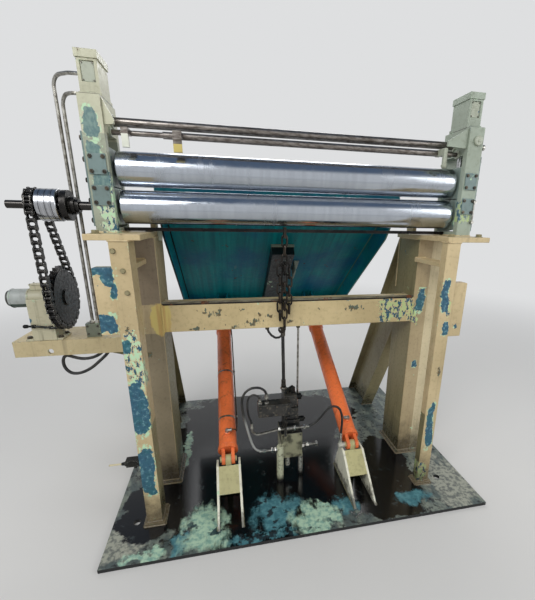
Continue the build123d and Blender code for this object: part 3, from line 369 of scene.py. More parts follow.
def stack_coat():
    """Black valves over an olive manifold, on a pale leg and two bright ones."""
    s = Shade("stack_enamel")
    fine = s.noise(70, 6, 0.62, shift=71)
    tone = s.noise(14, 6, 0.62, shift=75)
    olive = s.fade(tone, 0.42, 0.62, rgb(138, 136, 110), rgb(70, 68, 54))
    black = s.fade(tone, 0.46, 0.6, rgb(16, 17, 18), rgb(46, 44, 40))
    black = s.fade(fine, 0.57, 0.64, black, rgb(104, 98, 84), 0.8)
    colour = s.fade(s.axis("Z"), 0.336, 0.342, olive, black)
    colour = s.mix(s.inside([("X", -0.2, -0.096), ("Z", 0.02, 0.27)]), colour,
        s.fade(fine, 0.5, 0.64, rgb(186, 188, 160), rgb(112, 112, 92)))
    bright = s.inside([("X", -0.09, 0.2), ("Z", 0.02, 0.1715)])
    colour = s.mix(bright, colour, s.fade(fine, 0.48, 0.62, rgb(206, 206, 194), rgb(96, 96, 90)))
    colour = s.fade(s.axis("Z"), 0.07, 0.025, colour, oil_black)
    # Lighter edges: worn paint and a painted highlight along them
    worn = s.times(s.edges(0.003), 0.6)
    colour = s.mix(worn, colour, rgb(140, 136, 122))
    return s.finish(colour, s.step(fine, 0.3, 0.75, 0.26, 0.5), metallic=s.times(bright, 0.7),
        height=s.math("ADD", fine, tone), strength=0.35, depth=0.001)


def table_paint():
    """Dark teal enamel under the table, with runs down its slope, and a scuffed steel top."""
    s = Shade("teal_table", specular=0.22)
    slope_runs = s.noise(1.0, 7, 0.62, stretch=(30, 1.1, 1.1), shift=4)
    fine = s.noise(48, 6, 0.6, shift=2)
    tone = s.noise(2.6, 5, 0.6, shift=9)
    colour = s.fade(slope_runs, 0.3, 0.72, rgb(4, 116, 128), rgb(16, 154, 162))
    colour = s.fade(tone, 0.42, 0.66, colour, rgb(8, 94, 146), 0.7)
    under = s.faces(table_under)
    # Under the side bars: grey-green at the right, and near black at the left, a painted shade along the
    # left edge
    for other, low, high in ((rgb(96, 136, 122), 0.6, 0.63), (rgb(14, 22, 24), -0.73, -0.702)):
        colour = s.mix(s.times(under, s.inside([("X", low, high)])), colour, other)
    pale = s.step(s.noise(1.0, 8, 0.66, stretch=(22, 2.2, 2.2), shift=14), 0.655, 0.72)
    colour = s.mix(s.times(pale, 0.4), colour, rgb(110, 156, 156))
    chips = s.step(s.math("MULTIPLY_ADD", s.edges(), 0.12, s.noise(17, 9, 0.68, shift=5)), 0.66, 0.675)
    colour = s.mix(chips, colour, s.fade(fine, 0.42, 0.6, dark_steel, rust))
    up = s.faces(table_up)
    lines = s.noise(1.0, 6, 0.6, stretch=(60, 0.9, 0.9), shift=1)
    steel = s.fade(lines, 0.3, 0.74, rgb(128, 128, 122), rgb(150, 150, 144))
    steel = s.fade(tone, 0.52, 0.75, steel, rgb(84, 74, 62), 0.8)
    colour = s.mix(up, colour, steel)
    rough = s.step(fine, 0.3, 0.8, 0.34, 0.58)
    height = s.math("SUBTRACT", s.times(fine, 0.3), chips)
    return s.finish(colour, rough, metallic=s.times(up, 0.75), height=height, strength=0.4, depth=0.0012)


def metal(name, bright, dull, rough=0.3, marks=(1, 1, 1), rusty=0.0, shift=0.0, dirty=0.25, metallic=1.0,
          zones=()):
    """Bare steel with fine marks along one direction, tarnish, oil and some rust."""
    s = Shade(name, metallic=metallic)
    lines = s.noise(1.0, 5, 0.6, stretch=marks, shift=shift)
    tone = s.noise(5.5, 5, 0.6, shift=shift + 3)
    fine = s.noise(70, 5, 0.6, shift=shift + 7)
    colour = s.fade(lines, 0.35, 0.68, bright, dull)
    colour = s.fade(tone, 0.5, 0.72, colour, rgb(58, 52, 44), dirty)
    for other, *limits in zones:
        colour = s.mix(s.inside(limits), colour, other)
    raised = s.times(lines, 0.5)
    rough_out = s.step(s.math("MULTIPLY_ADD", tone, 0.5, s.times(lines, 0.5)), 0.3, 0.75,
        rough - 0.07, rough + 0.2)
    if rusty:
        spread = s.math("ADD", s.noise(15, 8, 0.66, shift=shift + 13), rusty)
        rusted = s.step(spread, 0.62, 0.68)
        colour = s.mix(rusted, colour, s.fade(fine, 0.38, 0.64, rgb(58, 36, 25), rgb(116, 70, 38)))
        rough_out = s.math("MULTIPLY_ADD", rusted, 0.45, rough_out, clamp=True)
        plain = s.times(s.math("SUBTRACT", 1.0, rusted), metallic)
        return s.finish(colour, rough_out, metallic=plain, height=s.math("ADD", fine, rusted),
            strength=0.4, depth=0.001)
    return s.finish(colour, rough_out, height=raised, strength=0.06, depth=0.0006)


def greasy(name, colour_a, colour_b, rough=0.3, shift=0.0, glint=0.5):
    """Dark greasy steel: black film, with edges brighter, partly rubbed steel and partly a painted
    highlight.
    """
    s = Shade(name, metallic=0.75)
    fine = s.noise(60, 6, 0.62, shift=shift)
    tone = s.noise(9, 5, 0.6, shift=shift + 4)
    colour = s.fade(tone, 0.4, 0.68, colour_a, colour_b)
    # Brighter edges, as much as glint says: rubbed steel and a painted highlight
    colour = s.mix(s.times(s.edges(0.002), glint), colour, rgb(168, 166, 160))
    colour = s.fade(fine, 0.62, 0.72, colour, rgb(88, 58, 36), 0.6)
    return s.finish(colour, s.step(fine, 0.3, 0.7, rough - 0.1, rough + 0.2), height=fine,
        strength=0.25, depth=0.0008)


def rubber(name, top, bottom, low_z, high_z, shift=0.0):
    """Hose cover, dusty or oily, changing tone along its height."""
    s = Shade(name)
    fine = s.noise(90, 5, 0.6, shift=shift)
    tone = s.noise(14, 5, 0.6, shift=shift + 2)
    colour = s.fade(s.axis("Z"), low_z, high_z, bottom, top)
    colour = s.fade(tone, 0.45, 0.7, colour, rgb(66, 64, 58), 0.5)
    colour = s.fade(fine, 0.6, 0.75, colour, rgb(120, 118, 110), 0.35)
    return s.finish(colour, s.step(fine, 0.3, 0.75, 0.32, 0.6), height=fine, strength=0.35, depth=0.0006)


beige = rgb(206, 186, 144)
cream = rgb(202, 202, 176)
# Zones: a paler patch low at the far left, and the inner side faces of both front posts darker olive, a
# painted shade
front_paint = paint("front_enamel", beige, zones=[(rgb(214, 204, 168), ("X", -1.1, -0.914),
    ("Z", 0.3, 0.5)), (rgb(132, 126, 92), ("X", 0.7, 0.7065), ("Z", 0.04, 0.5)),
    (rgb(150, 142, 108), ("X", -0.778, -0.776), ("Z", 0.04, 0.6))])
beige_paint = paint("beige_enamel", beige, shift=44)
beam_paint = paint("beam_enamel", rgb(208, 188, 142), shift=21)
# Zones: a lighter strip on the right post's front face; the left post's front face darker above and below
# the beam, partly a greyer paint and partly painted shade; the inner side faces of both darker olive, a
# painted shade
rear_paint = paint("rear_enamel", rgb(178, 160, 124), shift=28, grime=0.4,
    zones=[(rgb(212, 198, 162), ("X", 0.82, 0.9), ("Y", 0.03, 0.0475)),
    (rgb(140, 128, 104), ("X", -0.9, -0.7), ("Z", 0.03, 0.978), ("Y", 0.03, 0.0475)),
    (rgb(134, 120, 100), ("X", -0.9, -0.7), ("Z", 1.136, 1.5), ("Y", 0.03, 0.0475)),
    (rgb(124, 120, 84), ("X", -0.7285, -0.7), ("Z", 0.03, 0.978)),
    (rgb(142, 134, 98), ("X", 0.7, 0.7285), ("Z", 0.03, 1.5))])
olive_paint = paint("brace_enamel", rgb(150, 142, 108), worn=-0.02, shift=37, patchy=False, oily=0.22)
# Zones: the gusset plate under the shelf darker olive, a painted shade, and a grey-green spot above the
# shelf top
shelf_paint = paint("shelf_enamel", rgb(196, 180, 140), shift=86, grime=0.5,
    zones=[(rgb(118, 112, 66), ("Y", 0.105, 0.125), ("Z", 0.8, 0.9565), ("X", -1.2, -0.88)),
    (rgb(110, 116, 100), ("X", -1.112, -1.044), ("Z", 0.9675, 1.05), ("Y", 0.07, 0.12))])
cream_paint = paint("cream_enamel", cream, worn=-0.015, grime=0.3, shift=5,
    zones=[(rgb(58, 58, 50), ("Z", 2.0405, 2.0435)), (rgb(166, 172, 152), ("Z", 1.49, 1.9))])
grey_paint = paint("grey_enamel", rgb(160, 172, 156), worn=-0.015, grime=0.4, shift=15,
    zones=[(rgb(58, 58, 50), ("Z", 2.0405, 2.0435))])
panel_paint = paint("panel_enamel", rgb(168, 174, 156), shift=92, patchy=False)
guide_paint = paint("guide_enamel", rgb(116, 136, 134), worn=0.04, grime=0.5, shift=96, patchy=False)
# The side plates of the floor brackets near white, a painted highlight of their lit front edges; a paler
# patch on the right bracket
bracket_zones = [(rgb(228, 226, 206), ("X", x, x + 0.014)) for x in (-0.494, -0.37, 0.256, 0.38)]
bracket_zones.append((rgb(186, 184, 172), ("X", 0.238, 0.2785), ("Z", 0.2285, 0.3)))
bracket_paint = paint("bracket_enamel", rgb(184, 178, 128), shift=13, patchy=False, oily=0.1,
    grime=0.4, zones=bracket_zones)
block_paint = paint("block_enamel", rgb(122, 138, 130), worn=0.05, grime=0.6, shift=50,
    patchy=False, gloss=0.36)
base_paint = paint("base_enamel", rgb(186, 180, 152), worn=0.04, grime=0.8, shift=71, patchy=False)
# Zones: a lighter grey left end, with a dark green band low on it, a painted shadow, and a darker end cap
motor_paint = paint("motor_enamel", rgb(188, 184, 158), worn=0.02, grime=0.6, shift=77, patchy=False,
    zones=[(rgb(176, 182, 180), ("X", -1.45, -1.345)), (rgb(48, 70, 58), ("X", -1.45, -1.352),
    ("Z", 1.1, 1.156)), (rgb(70, 72, 66), ("X", -1.45, -1.424))])
orange_paint = paint("orange_enamel", rgb(254, 128, 70), worn=-0.03, grime=0.75, shift=63, patchy=False,
    under=rgb(150, 64, 38), gloss=0.34, oily=0.4, painted_beam_shade=(0.8, 0.97))
# Near black: the duct's dark paint and a painted shade of its hollow under the table; a pale catch on it
duct_paint_and_shade = paint("duct_enamel_and_shade", rgb(9, 20, 23), worn=-0.05, grime=0.3, shift=58, patchy=False,
    under=rgb(20, 50, 54), zones=[(rgb(168, 184, 172), ("X", 0.109, 0.16))])
stack_finish = stack_coat()
plate_finish = oily_plate()
teal_finish = table_paint()
roll_finish = metal("roll_chrome", rgb(188, 194, 202), rgb(178, 184, 192), 0.15, marks=(26, 2, 2),
    dirty=0.1, zones=[(rgb(62, 60, 58), ("X", -1.4, -0.952))])
tie_finish = metal("tie_steel", rgb(150, 144, 138), rgb(96, 88, 82), 0.34, marks=(30, 120, 120), shift=12,
    dirty=0.6, zones=[(rgb(196, 198, 186), ("X", -0.8, -0.76), ("Y", -0.1, -0.045), ("Z", 1.8, 1.908)),
    (rgb(188, 172, 108), ("X", -0.59, -0.545), ("Y", -0.1, -0.045), ("Z", 1.8, 1.88))])
rod_finish = metal("rod_chrome", rgb(198, 200, 202), rgb(150, 150, 148), 0.2, marks=(8, 8, 8), shift=3)
bar_finish = metal("bar_steel", rgb(150, 144, 138), rgb(96, 88, 82), 0.34,
    marks=(30, 120, 120), shift=9, dirty=0.6)
drum_finish = metal("drum_steel", rgb(186, 188, 192), rgb(150, 152, 156), 0.18, marks=(90, 3, 3), shift=19,
    dirty=0.4, zones=[(rgb(70, 70, 72), ("X", x - 0.0012, x + 0.0012)) for x in (-1.16, -1.136, -1.112)])
pipe_finish = metal("pipe_steel", rgb(176, 174, 166), rgb(110, 106, 98), 0.3,
    marks=(40, 40, 40), shift=29, dirty=0.5)
zinc_finish = metal("zinc_steel", rgb(206, 204, 196), rgb(140, 138, 130), 0.3,
    marks=(60, 60, 60), shift=31, dirty=0.4)
line_finish = metal("line_steel", rgb(112, 92, 74), rgb(70, 56, 46), 0.4,
    marks=(40, 40, 40), shift=52, dirty=0.5)
bolt_finish = greasy("bolt_steel", rgb(52, 48, 42), rgb(96, 88, 74), rough=0.34, shift=83, glint=0.5)
seal_rubber = rubber("seal_black", rgb(16, 16, 17), rgb(18, 18, 19), 0, 1, shift=8)
rust_finish = metal("rusty_steel", rgb(126, 122, 104), rgb(84, 78, 64), 0.45, marks=(14, 60, 60),
    rusty=0.07, shift=43, metallic=0.5, zones=[(rgb(26, 24, 22), ("Z", 1.12, 1.1375)),
    (rgb(30, 28, 24), ("Y", 0.056, 0.1))])
iron_finish = greasy("greasy_iron", rgb(20, 19, 20), rgb(42, 40, 38))
chain_finish = greasy("greasy_chain", rgb(14, 13, 14), rgb(36, 32, 30), rough=0.26, shift=9, glint=0.8)
link_finish = greasy("link_iron", rgb(26, 24, 22), rgb(60, 52, 44), rough=0.36, shift=15, glint=0.3)
valve_finish = greasy("valve_black", rgb(18, 19, 20), rgb(50, 50, 46), rough=0.3, shift=25, glint=0.5)
black_hose = rubber("hose_black", rgb(18, 18, 19), rgb(20, 20, 21), 0, 1)
grey_hose = rubber("hose_two_tone", rgb(20, 20, 21), rgb(158, 160, 156), 0.4, 0.52, shift=5)

# The dark finishes, paired with the slot name dark_iron in a dict that is not kept
dark_finishes = (bolt_finish, valve_finish, chain_finish, link_finish, iron_finish)
dict.fromkeys(dark_finishes, "dark_iron")


# Mesh parts, each a list of points and a list of faces, in millimetres
def across(axis):
    """Two directions square to an axis."""
    a = Vector(axis).normalized()
    u = a.orthogonal().normalized()
    for fixed in (Z, Y):
        if abs(a.dot(fixed)) < 0.9:
            u = (fixed - a * a.dot(fixed)).normalized()
            break
    return u, a.cross(u)


def lathe(start, axis, profile, sides=24, turn=0.0, ring=False):
    """A turned form: profile rows are (distance along the axis, radius), a loop of them for a ring."""
    start, a = Vector(start), Vector(axis).normalized()
    u, v = across(a)
    points, faces, rows = [], [], []
    for along, radius in profile:
        first = len(points)
        if radius < 0.001:
            points.append(start + a * along)
            rows.append([first] * sides)
            continue
        for i in range(sides):
            t = turn + 2 * pi * i / sides
            points.append(start + a * along + (u * cos(t) + v * sin(t)) * radius)
        rows.append(list(range(first, first + sides)))
    for low, high in zip(rows, rows[1:] + rows[:1] if ring else rows[1:]):
        for i in range(sides):
            j = (i + 1) % sides
            face = []
            for k in (low[i], low[j], high[j], high[i]):
                if k not in face:
                    face.append(k)
            if len(face) > 2:
                faces.append(tuple(face))
    for row in () if ring else (rows[0], rows[-1]):
        if row[0] != row[-1]:
            faces.append(tuple(row))
    return points, faces


def tube(path, radius, sides=8, closed=False):
    """A round bar along a list of points, with one radius or one for each point."""
    path = [Vector(p) for p in path]
    n = len(path)
    points, faces, side = [], [], None
    for i, p in enumerate(path):
        before = path[(i - 1) % n] if closed or i else p
        after = path[(i + 1) % n] if closed or i < n - 1 else p
        along = (after - before).normalized()
        if side is None:
            side = across(along)[0]
        side = (side - along * side.dot(along)).normalized()
        other = along.cross(side)
        r = radius[i] if isinstance(radius, list) else radius
        for k in range(sides):
            t = 2 * pi * k / sides
            points.append(p + (side * cos(t) + other * sin(t)) * r)
    for i in range(n if closed else n - 1):
        a, b = i * sides, (i + 1) % n * sides
        for k in range(sides):
            j = (k + 1) % sides
            faces.append((a + k, a + j, b + j, b + k))
    if not closed:
        faces.append(tuple(range(sides)))
        faces.append(tuple(range((n - 1) * sides, n * sides)))
    return points, faces


def prism(outline, origin, u, v, depth):
    """An outline of (u, v) pairs carried along u x v."""
    origin, u, v = Vector(origin), Vector(u).normalized(), Vector(v).normalized()
    w = u.cross(v) * depth
    n = len(outline)
    flat = [origin + u * a + v * b for a, b in outline]
    points = flat + [p + w for p in flat]
    faces = [tuple(range(n)), tuple(range(n, 2 * n))]
    for i in range(n):
        j = (i + 1) % n
        faces.append((i, j, n + j, n + i))
    return points, faces


def block(x0, x1, y0, y1, z0, z1):
    return prism([(x0, y0), (x1, y0), (x1, y1), (x0, y1)], (0, 0, z0), X, Y, z1 - z0)


def hexbolt(place, axis, across_flats, height):
    """A chamfered hexagon head on its washer."""
    r = across_flats / 2 / cos(pi / 6)
    lift = 0.12 * across_flats
    head = [(lift, r * 0.96), (lift + height * 0.1, r), (lift + height * 0.82, r),
        (lift + height, r * 0.84)]
    return [lathe(place, axis, head, 6, rng.uniform(0, 1)),
        lathe(place, axis, [(0, r * 1.18), (lift, r * 1.18)], 18)]


def socket_screw(place, axis, diameter, height):
    """A round socket head with its hollow."""
    r = diameter / 2
    profile = [(0, r), (height * 0.9, r), (height, r * 0.9), (height, r * 0.55),
        (height * 0.5, r * 0.5), (height * 0.5, 0)]
    return [lathe(place, axis, profile, 14)]


def weld(a, b, leg=6):
    """A rippled bead in a corner, from a to b."""
    a, b = Vector(a), Vector(b)
    count = max(4, round((b - a).length / 7))
    path = [a.lerp(b, i / count) for i in range(count + 1)]
    radii = [leg * (0.85 + 0.14 * (i % 2) + rng.uniform(-0.06, 0.06)) for i in range(count + 1)]
    return tube(path, radii, 6)


def weld_round(x0, x1, y0, y1, z, leg=6):
    """Beads round the foot of a post or plate."""
    corners = [(x0, y0, z), (x1, y0, z), (x1, y1, z), (x0, y1, z)]
    return [weld(a, b, leg) for a, b in zip(corners, corners[1:] + corners[:1])]


def hose_end(place, away, diameter, length=2.0):
    """A hex nut and a ridged ferrule, where a hose leaves its port."""
    r = diameter / 2
    start, long = 0.9 * diameter, length * diameter
    profile = [(start * 0.8, r * 1.2)]
    for i in range(5):
        at = start + long * i / 5
        profile += [(at, r * 1.38), (at + long * 0.13, r * 1.38), (at + long * 0.15, r * 1.24),
            (at + long * 0.19, r * 1.24)]
    nut = [(-2, r * 1.5), (0, r * 1.62), (start * 0.85, r * 1.62), (start * 0.95, r * 1.5)]
    return [lathe(place, away, nut, 6), lathe(place, away, profile + [(start + long, r * 1.08)], 18)]


def hexnut(place, axis, across_flats, height):
    """A nut on a pipe or a port."""
    r = across_flats / 2 / cos(pi / 6)
    profile = [(0, r * 0.95), (height * 0.12, r), (height * 0.88, r), (height, r * 0.95)]
    return [lathe(place, axis, profile, 6, rng.uniform(0, 1))]


def each(places, fitting, *rest):
    """The parts of one kind of fitting at each of some places."""
    return [part for place in places for part in fitting(place, *rest)]


def link_object(name, data, body):
    """A piece of the scene, on its body."""
    piece = bpy.data.objects.new(name, data)
    bpy.context.scene.collection.objects.link(piece)
    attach(piece, body)
    return piece


def round_edges(piece, width, segments=2):
    edge = piece.modifiers.new("edges", "BEVEL")
    edge.width = width
    edge.segments = segments
    edge.limit_method = "ANGLE"
    edge.angle_limit = radians(32)
    edge.harden_normals = True
    edge.use_clamp_overlap = True


def make(name, material, parts, body="frame", angle=38, bevel=0.0, segments=2):
    """One piece from mesh parts, with outward faces, smooth where the form is round."""
    points, faces = [], []
    for p, f in parts:
        base = len(points)
        points += [[c / 1000 for c in q] for q in p]
        faces += [tuple(i + base for i in face) for face in f]
    mesh = bpy.data.meshes.new(name)
    mesh.from_pydata(points, [], faces)
    bm = bmesh.new()
    bm.from_mesh(mesh)
    bmesh.ops.recalc_face_normals(bm, faces=bm.faces)
    bm.to_mesh(mesh)
    bm.free()
    mesh.shade_smooth()
    mesh.set_sharp_from_angle(angle=radians(angle))
    mesh.materials.append(material)
    piece = link_object(name, mesh, body)
    if bevel:
        round_edges(piece, bevel / 1000, segments)
    return piece


def dress(name, material, width):
    """A CAD node's finish: joined faces, softened edges and a material."""
    piece = nodes[name]
    mesh = piece.data
    if "custom_normal" in mesh.attributes:
        mesh.attributes.remove(mesh.attributes["custom_normal"])
    mesh.shade_smooth()
    mesh.materials.clear()
    mesh.materials.append(material)
    joined = piece.modifiers.new("join", "WELD")
    joined.merge_threshold = 0.00002
    flats = piece.modifiers.new("flats", "DECIMATE")
    flats.decimate_type = "DISSOLVE"
    flats.angle_limit = radians(0.6)
    round_edges(piece, width / 1000)


# Which way each side lies from the middle
outward = {"left": -1, "right": 1}

# The frame's own nodes: finish, width of the softened edges, and names, where _ stands for both sides
for material, width, names in (
        (plate_finish, 2, "base_plate"), (beam_paint, 4, "cross_beam"), (rust_finish, 1, "beam_angle"),
        (bar_finish, 1, "upper_tie_bar"), (tie_finish, 1, "lower_tie_rod"), (iron_finish, 1, "chain_bar"),
        (shelf_paint, 2, "drive_shelf"), (base_paint, 3, "motor_pedestal"), (motor_paint, 3, "drive_motor"),
        (stack_finish, 2, "valve_stack"), (pipe_finish, 0.4, "steel_pipes"), (drum_finish, 1, "clutch_drum"),
        (roll_finish, 1.5, "lower_roll upper_roll"), (iron_finish, 0.6, "roll_sprocket drive_sprocket"),
        (iron_finish, 2, "coupling_disc"), (teal_finish, 1, "table_deck table_end_bars table_lugs"),
        (teal_finish, 2, "table_side_"), (duct_paint_and_shade, 1, "table_duct"), (chain_finish, 0.3, "drive_chain"),
        (link_finish, 0.3, "hanging_chain"), (front_paint, 4, "front_post_"), (rear_paint, 5, "rear_post_"),
        (beige_paint, 3, "saddle_"), (beige_paint, 2, "post_tie_ hinge_ear_"),
        (beige_paint, 4, "side_box_"), (olive_paint, 1.5, "brace_"), (cream_paint, 3, "roll_housing_left"),
        (cream_paint, 2.5, "lift_head_left"), (grey_paint, 3, "roll_housing_right"),
        (grey_paint, 2.5, "lift_head_right"),
        (block_paint, 2, "lower_block_ upper_block_"), (rod_finish, 1, "lift_rod_ cylinder_rod_"),
        (bracket_paint, 1.5, "cylinder_bracket_"), (orange_paint, 1.5, "cylinder_barrel_")):
    for name in names.split():
        for node in [name + side for side in outward] if name.endswith("_") else [name]:
            dress(node, material, width)

# Hoses, on the routes that their tubes have: cover, diameter, the cord's length in metres, and points
clip_under = 930.34
hose_routes = {
    "jumper_hose_long": (grey_hose, 14, 0.636, [
        (-195, -60, 590), (-195, -60, 622), (-210, -60, 649), (-243, -62, 667), (-291, -64, 664),
        (-328, -64, 628), (-338, -62, 572), (-328, -60, 490), (-309, -58, 400), (-289, -60, 312),
        (-272, -60, 267), (-244, -60, 240), (-209, -60, 240)]),
    "jumper_hose_short": (black_hose, 11, 0.301, [
        (-233, -60, 572), (-233, -60, 594), (-249, -60, 615), (-273, -60, 622), (-294, -60, 610),
        (-304, -60, 584), (-306, -61, 543), (-301, -62, 490), (-283, -64, 444), (-283, -64, 408)]),
    "cylinder_hose_right": (black_hose, 14, 0.499, [
        (25, -68, 384), (60, -68, 384), (100, -70, 406), (136, -74, 450), (159, -79, 487), (182, -84, 510),
        (212, -88, 515), (238, -93, 499), (252, -97, 463), (258, -99, 410), (252, -100, 340),
        (252, -100, 275)]),
    "riser_hose": (black_hose, 20, 0.404, [(-76, 66, 578), (-76, 66, 700), (-80, 66, 860), (-80, 66, 982)]),
    "shelf_hose": (black_hose, 16, 0.634, [(x, y, clip_under - drop) for x, y, drop in (
        (-1040, 72, 0), (-1040, 72, 30), (-1056, 72, 54), (-1088, 72, 72), (-1124, 72, 80),
        (-1160, 72, 78), (-1196, 72, 64), (-1222, 73, 54), (-1241, 74, 70), (-1245, 74, 108),
        (-1232, 73, 142), (-1204, 72, 162), (-1160, 72, 158), (-1112, 72, 134), (-1066, 72, 94),
        (-1030, 72, 62), (-1010, 72, 30), (-1010, 72, 0))]),
}
for name, (material, diameter, length, route) in hose_routes.items():
    curve = bpy.data.curves.new(name + "_line", "CURVE")
    curve.dimensions = "3D"
    curve.resolution_u = 10
    curve.bevel_depth = diameter / 2000
    curve.bevel_resolution = 3
    curve.use_fill_caps = True
    line = curve.splines.new("NURBS")
    line.points.add(len(route) - 1)
    for point, (x, y, z) in zip(line.points, route):
        point.co = (x / 1000, y / 1000, z / 1000, 1)
    line.order_u = 3
    line.use_endpoint_u = True
    curve.materials.append(material)
    hose = link_object(name + "_cover", curve, "frame")
    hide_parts(name)


# Roller chain on its two sprockets
chain_x, pitch = -1200, 31.75
small_teeth, large_teeth, link_total = 12, 30, 50


def chain_pins():
    small, large = (pitch / (2 * sin(pi / n)) for n in (small_teeth, large_teeth))
    span = hypot(drive_y, roll_z - drive_z)
    lean = asin((large - small) / span)
    line = atan2(drive_z - roll_z, drive_y)
    small_links = (pi - 2 * lean) / (2 * pi / small_teeth)
    run_links = span * cos(lean) / pitch
    large_links = (pi + 2 * lean) / (2 * pi / large_teeth)
    pins = []
    for i in range(link_total):
        s = i
        if s <= small_links:
            a = line - pi / 2 - lean - s * 2 * pi / small_teeth
            pins.append((small * cos(a), roll_z + small * sin(a)))
            continue
        s -= small_links
        a = line + pi / 2 + lean
        if s < run_links:
            pins.append((small * cos(a) + sin(a) * s * pitch, roll_z + small * sin(a) - cos(a) * s * pitch))
            continue
        s -= run_links
        if s <= large_links:
            b = a - s * 2 * pi / large_teeth
            pins.append((drive_y + large * cos(b), drive_z + large * sin(b)))
            continue
        s -= large_links
        b = a - (pi + 2 * lean)
        pins.append((drive_y + large * cos(b) + sin(b) * s * pitch,
            drive_z + large * sin(b) - cos(b) * s * pitch))
    return pins


def waisted(length, end, waist):
    """The outline of a link plate, narrower between its two round ends."""
    points = []
    for centre, first in ((length, -0.5), (0.0, 0.5)):
        for i in range(8):
            t = (first + (i + 0.5) / 8) * pi
            points.append((centre + end * cos(t), end * sin(t)))
        points.append((length / 2, waist if first < 0 else -waist))
    return points


pins = chain_pins()
plates, rollers = [], []
for i, a in enumerate(pins):
    b = pins[(i + 1) % link_total]
    length = hypot(b[0] - a[0], b[1] - a[1])
    u = (0, (b[0] - a[0]) / length, (b[1] - a[1]) / length)
    v = (0, -u[2], u[1])
    inner = 9.5 + (4 if i % 2 else 0)
    for x in (chain_x - inner - 3.8, chain_x + inner + 0.2):
        plates.append(prism(waisted(length, 12.8, 9.5), (x, a[0], a[1]), u, v, 3.6))
    rollers.append(lathe((chain_x - 9.3, a[0], a[1]), X,
        [(0, 8.5), (0.6, 9.2), (18, 9.2), (18.6, 8.5)], 14))
    plates.append(lathe((chain_x - 18.5, a[0], a[1]), X, [(0, 3.6), (1, 4.6), (36, 4.6), (37, 3.6)], 10))
chain = make("roller_chain", chain_finish, plates, bevel=0.4, segments=1)
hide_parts("drive_chain")
make("chain_rollers", iron_finish, rollers)

# Welded chain hanging from its strap, two short strands beside it on a bow, and a hook
hang_x, hang_y, link_drop = -78, 20, 49.7


def chain_link(x, top, turned):
    """One welded link, hanging from its top, flat to the rolls or turned a quarter."""
    path, bow = [], 13.5
    for z, first in ((top - 8, 0), (top - 42, pi)):
        for k in range(9):
            t = first + pi * k / 8
            w, h = bow * cos(t), z + bow * sin(t)
            path.append((x, hang_y + w, h) if turned else (x + w, hang_y, h))
    return tube(path, 5.4, 8, closed=True)


links = [chain_link(hang_x, 1490.3 - i * link_drop, i % 2) for i in range(10)]
for y0, y1, z0, z1 in ((-3, 6.7, 1480, 1536), (33.3, 43, 1480, 1536), (6.7, 33.3, 1480, 1490),
        (6.7, 33.3, 1526.3, 1536)):
    links.append(block(-84, -72, y0, y1, z0, z1))
for i in range(6):
    links.append(chain_link(-104.5, 1333.5 - i * link_drop, i % 2))
    if i < 5:
        links.append(chain_link(-52, 1333.5 - i * link_drop - 11, not i % 2))
arch = [(-104.5, hang_y, 1330)]
for k in range(11):
    t = pi * k / 10
    arch.append((hang_x - 26.5 * cos(t), hang_y, 1340 + 16 * sin(t)))
links.append(tube(arch + [(-52, hang_y, 1318.5)], 5.6, 8))
hook = [(-78, 1000), (-78, 976), (-88, 962), (-102, 962), (-110, 974), (-109, 990)]
links.append(tube([(x, hang_y, z) for x, z in hook], [7.5, 8.5, 8.5, 8, 6, 3], 8))
hanging = make("hanging_links", link_finish, links, bevel=0.6, segments=1)
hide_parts("hanging_chain")

# Weld beads, on each corner that is welded
front_x = {"left": (-853, -777), "right": (706, 782)}
front_back = {"left": -157, "right": -212}
rear_x = {"left": (-885, -728), "right": (728, 885)}
house_x = {"left": (-935, -850), "right": (850, 935)}
brace_x = {"left": (-885, -784), "right": (728, 829)}
for side, sign in outward.items():
    (fx0, fx1), (rx0, rx1), fy1 = front_x[side], rear_x[side], front_back[side]
    beads = []
    for x0, x1, y0, y1 in ((fx0, fx1, -264, fy1), (rx0, rx1, 47, 295)):
        beads += weld_round(x0 - 14, x1 + 14, y0 - 14, y1 + 14, 21, 7)
        beads += weld_round(x0, x1, y0, y1, 37, 6)
        beads += weld_round(x0, x1, y0, y1, 1479, 5)
    beads += weld_round(*house_x[side], -111, 111, 1506, 6)
    seams = [((fx0 + 4, y, z), (fx1 - 4, y, z), 4.5) for z in (1351.5, 1374.5) for y in (fy1 + 1, 46)]
    inner = sign * 727
    seams += [((inner, y, 984), (inner, y, 1127), 6) for y in (46.5, 197)]
    seams += [((inner, 49, z), (inner, 195, z), 6) for z in (981.5, 1129.5)]
    box_x, low, high = (-853.5, 1072, 1368) if sign < 0 else (782.5, 974, 1270)
    seams += [((box_x, y, low), (box_x, y, high), 4.5) for y in (-250, -190)]
    seams += [((box_x, -250, z), (box_x, -190, z), 4.5) for z in (low, high)]
    seams += [((sign * x, 157, 1506), (sign * x, 233, 1506), 5) for x in (735, 760)]
    bx0, bx1 = brace_x[side]
    seams += [((bx0, y, 21), (bx1, y, 21), 6) for y in (732.5, 745.5, 1066.5)]
    seams += [((x, 295.5, 1160), (x, 295.5, 1476), 5) for x in (bx0, bx1)]
    beads += [weld(*seam) for seam in seams]
    make(f"weld_beads_{side}", beige_paint, beads, angle=60)
shelf_x = -885.5
shelf_seams = [((shelf_x, 47, 968), (shelf_x, 290, 968), 6),
    ((shelf_x, 46.5, 886), (shelf_x, 46.5, 966), 6), ((-1092, 109.5, 956.5), (-887, 109.5, 956.5), 4),
    ((shelf_x, 109.5, 828), (shelf_x, 109.5, 955), 4)]
make("weld_beads_shelf", shelf_paint, [weld(*seam) for seam in shelf_seams], angle=60)
bracket_beads = [weld((x + edge, -379, 21), (x + edge, 18, 21), 5)
    for x in cylinder_x for edge in (-68.5, 68.5)]
make("weld_beads_brackets", bracket_paint, bracket_beads, angle=60)

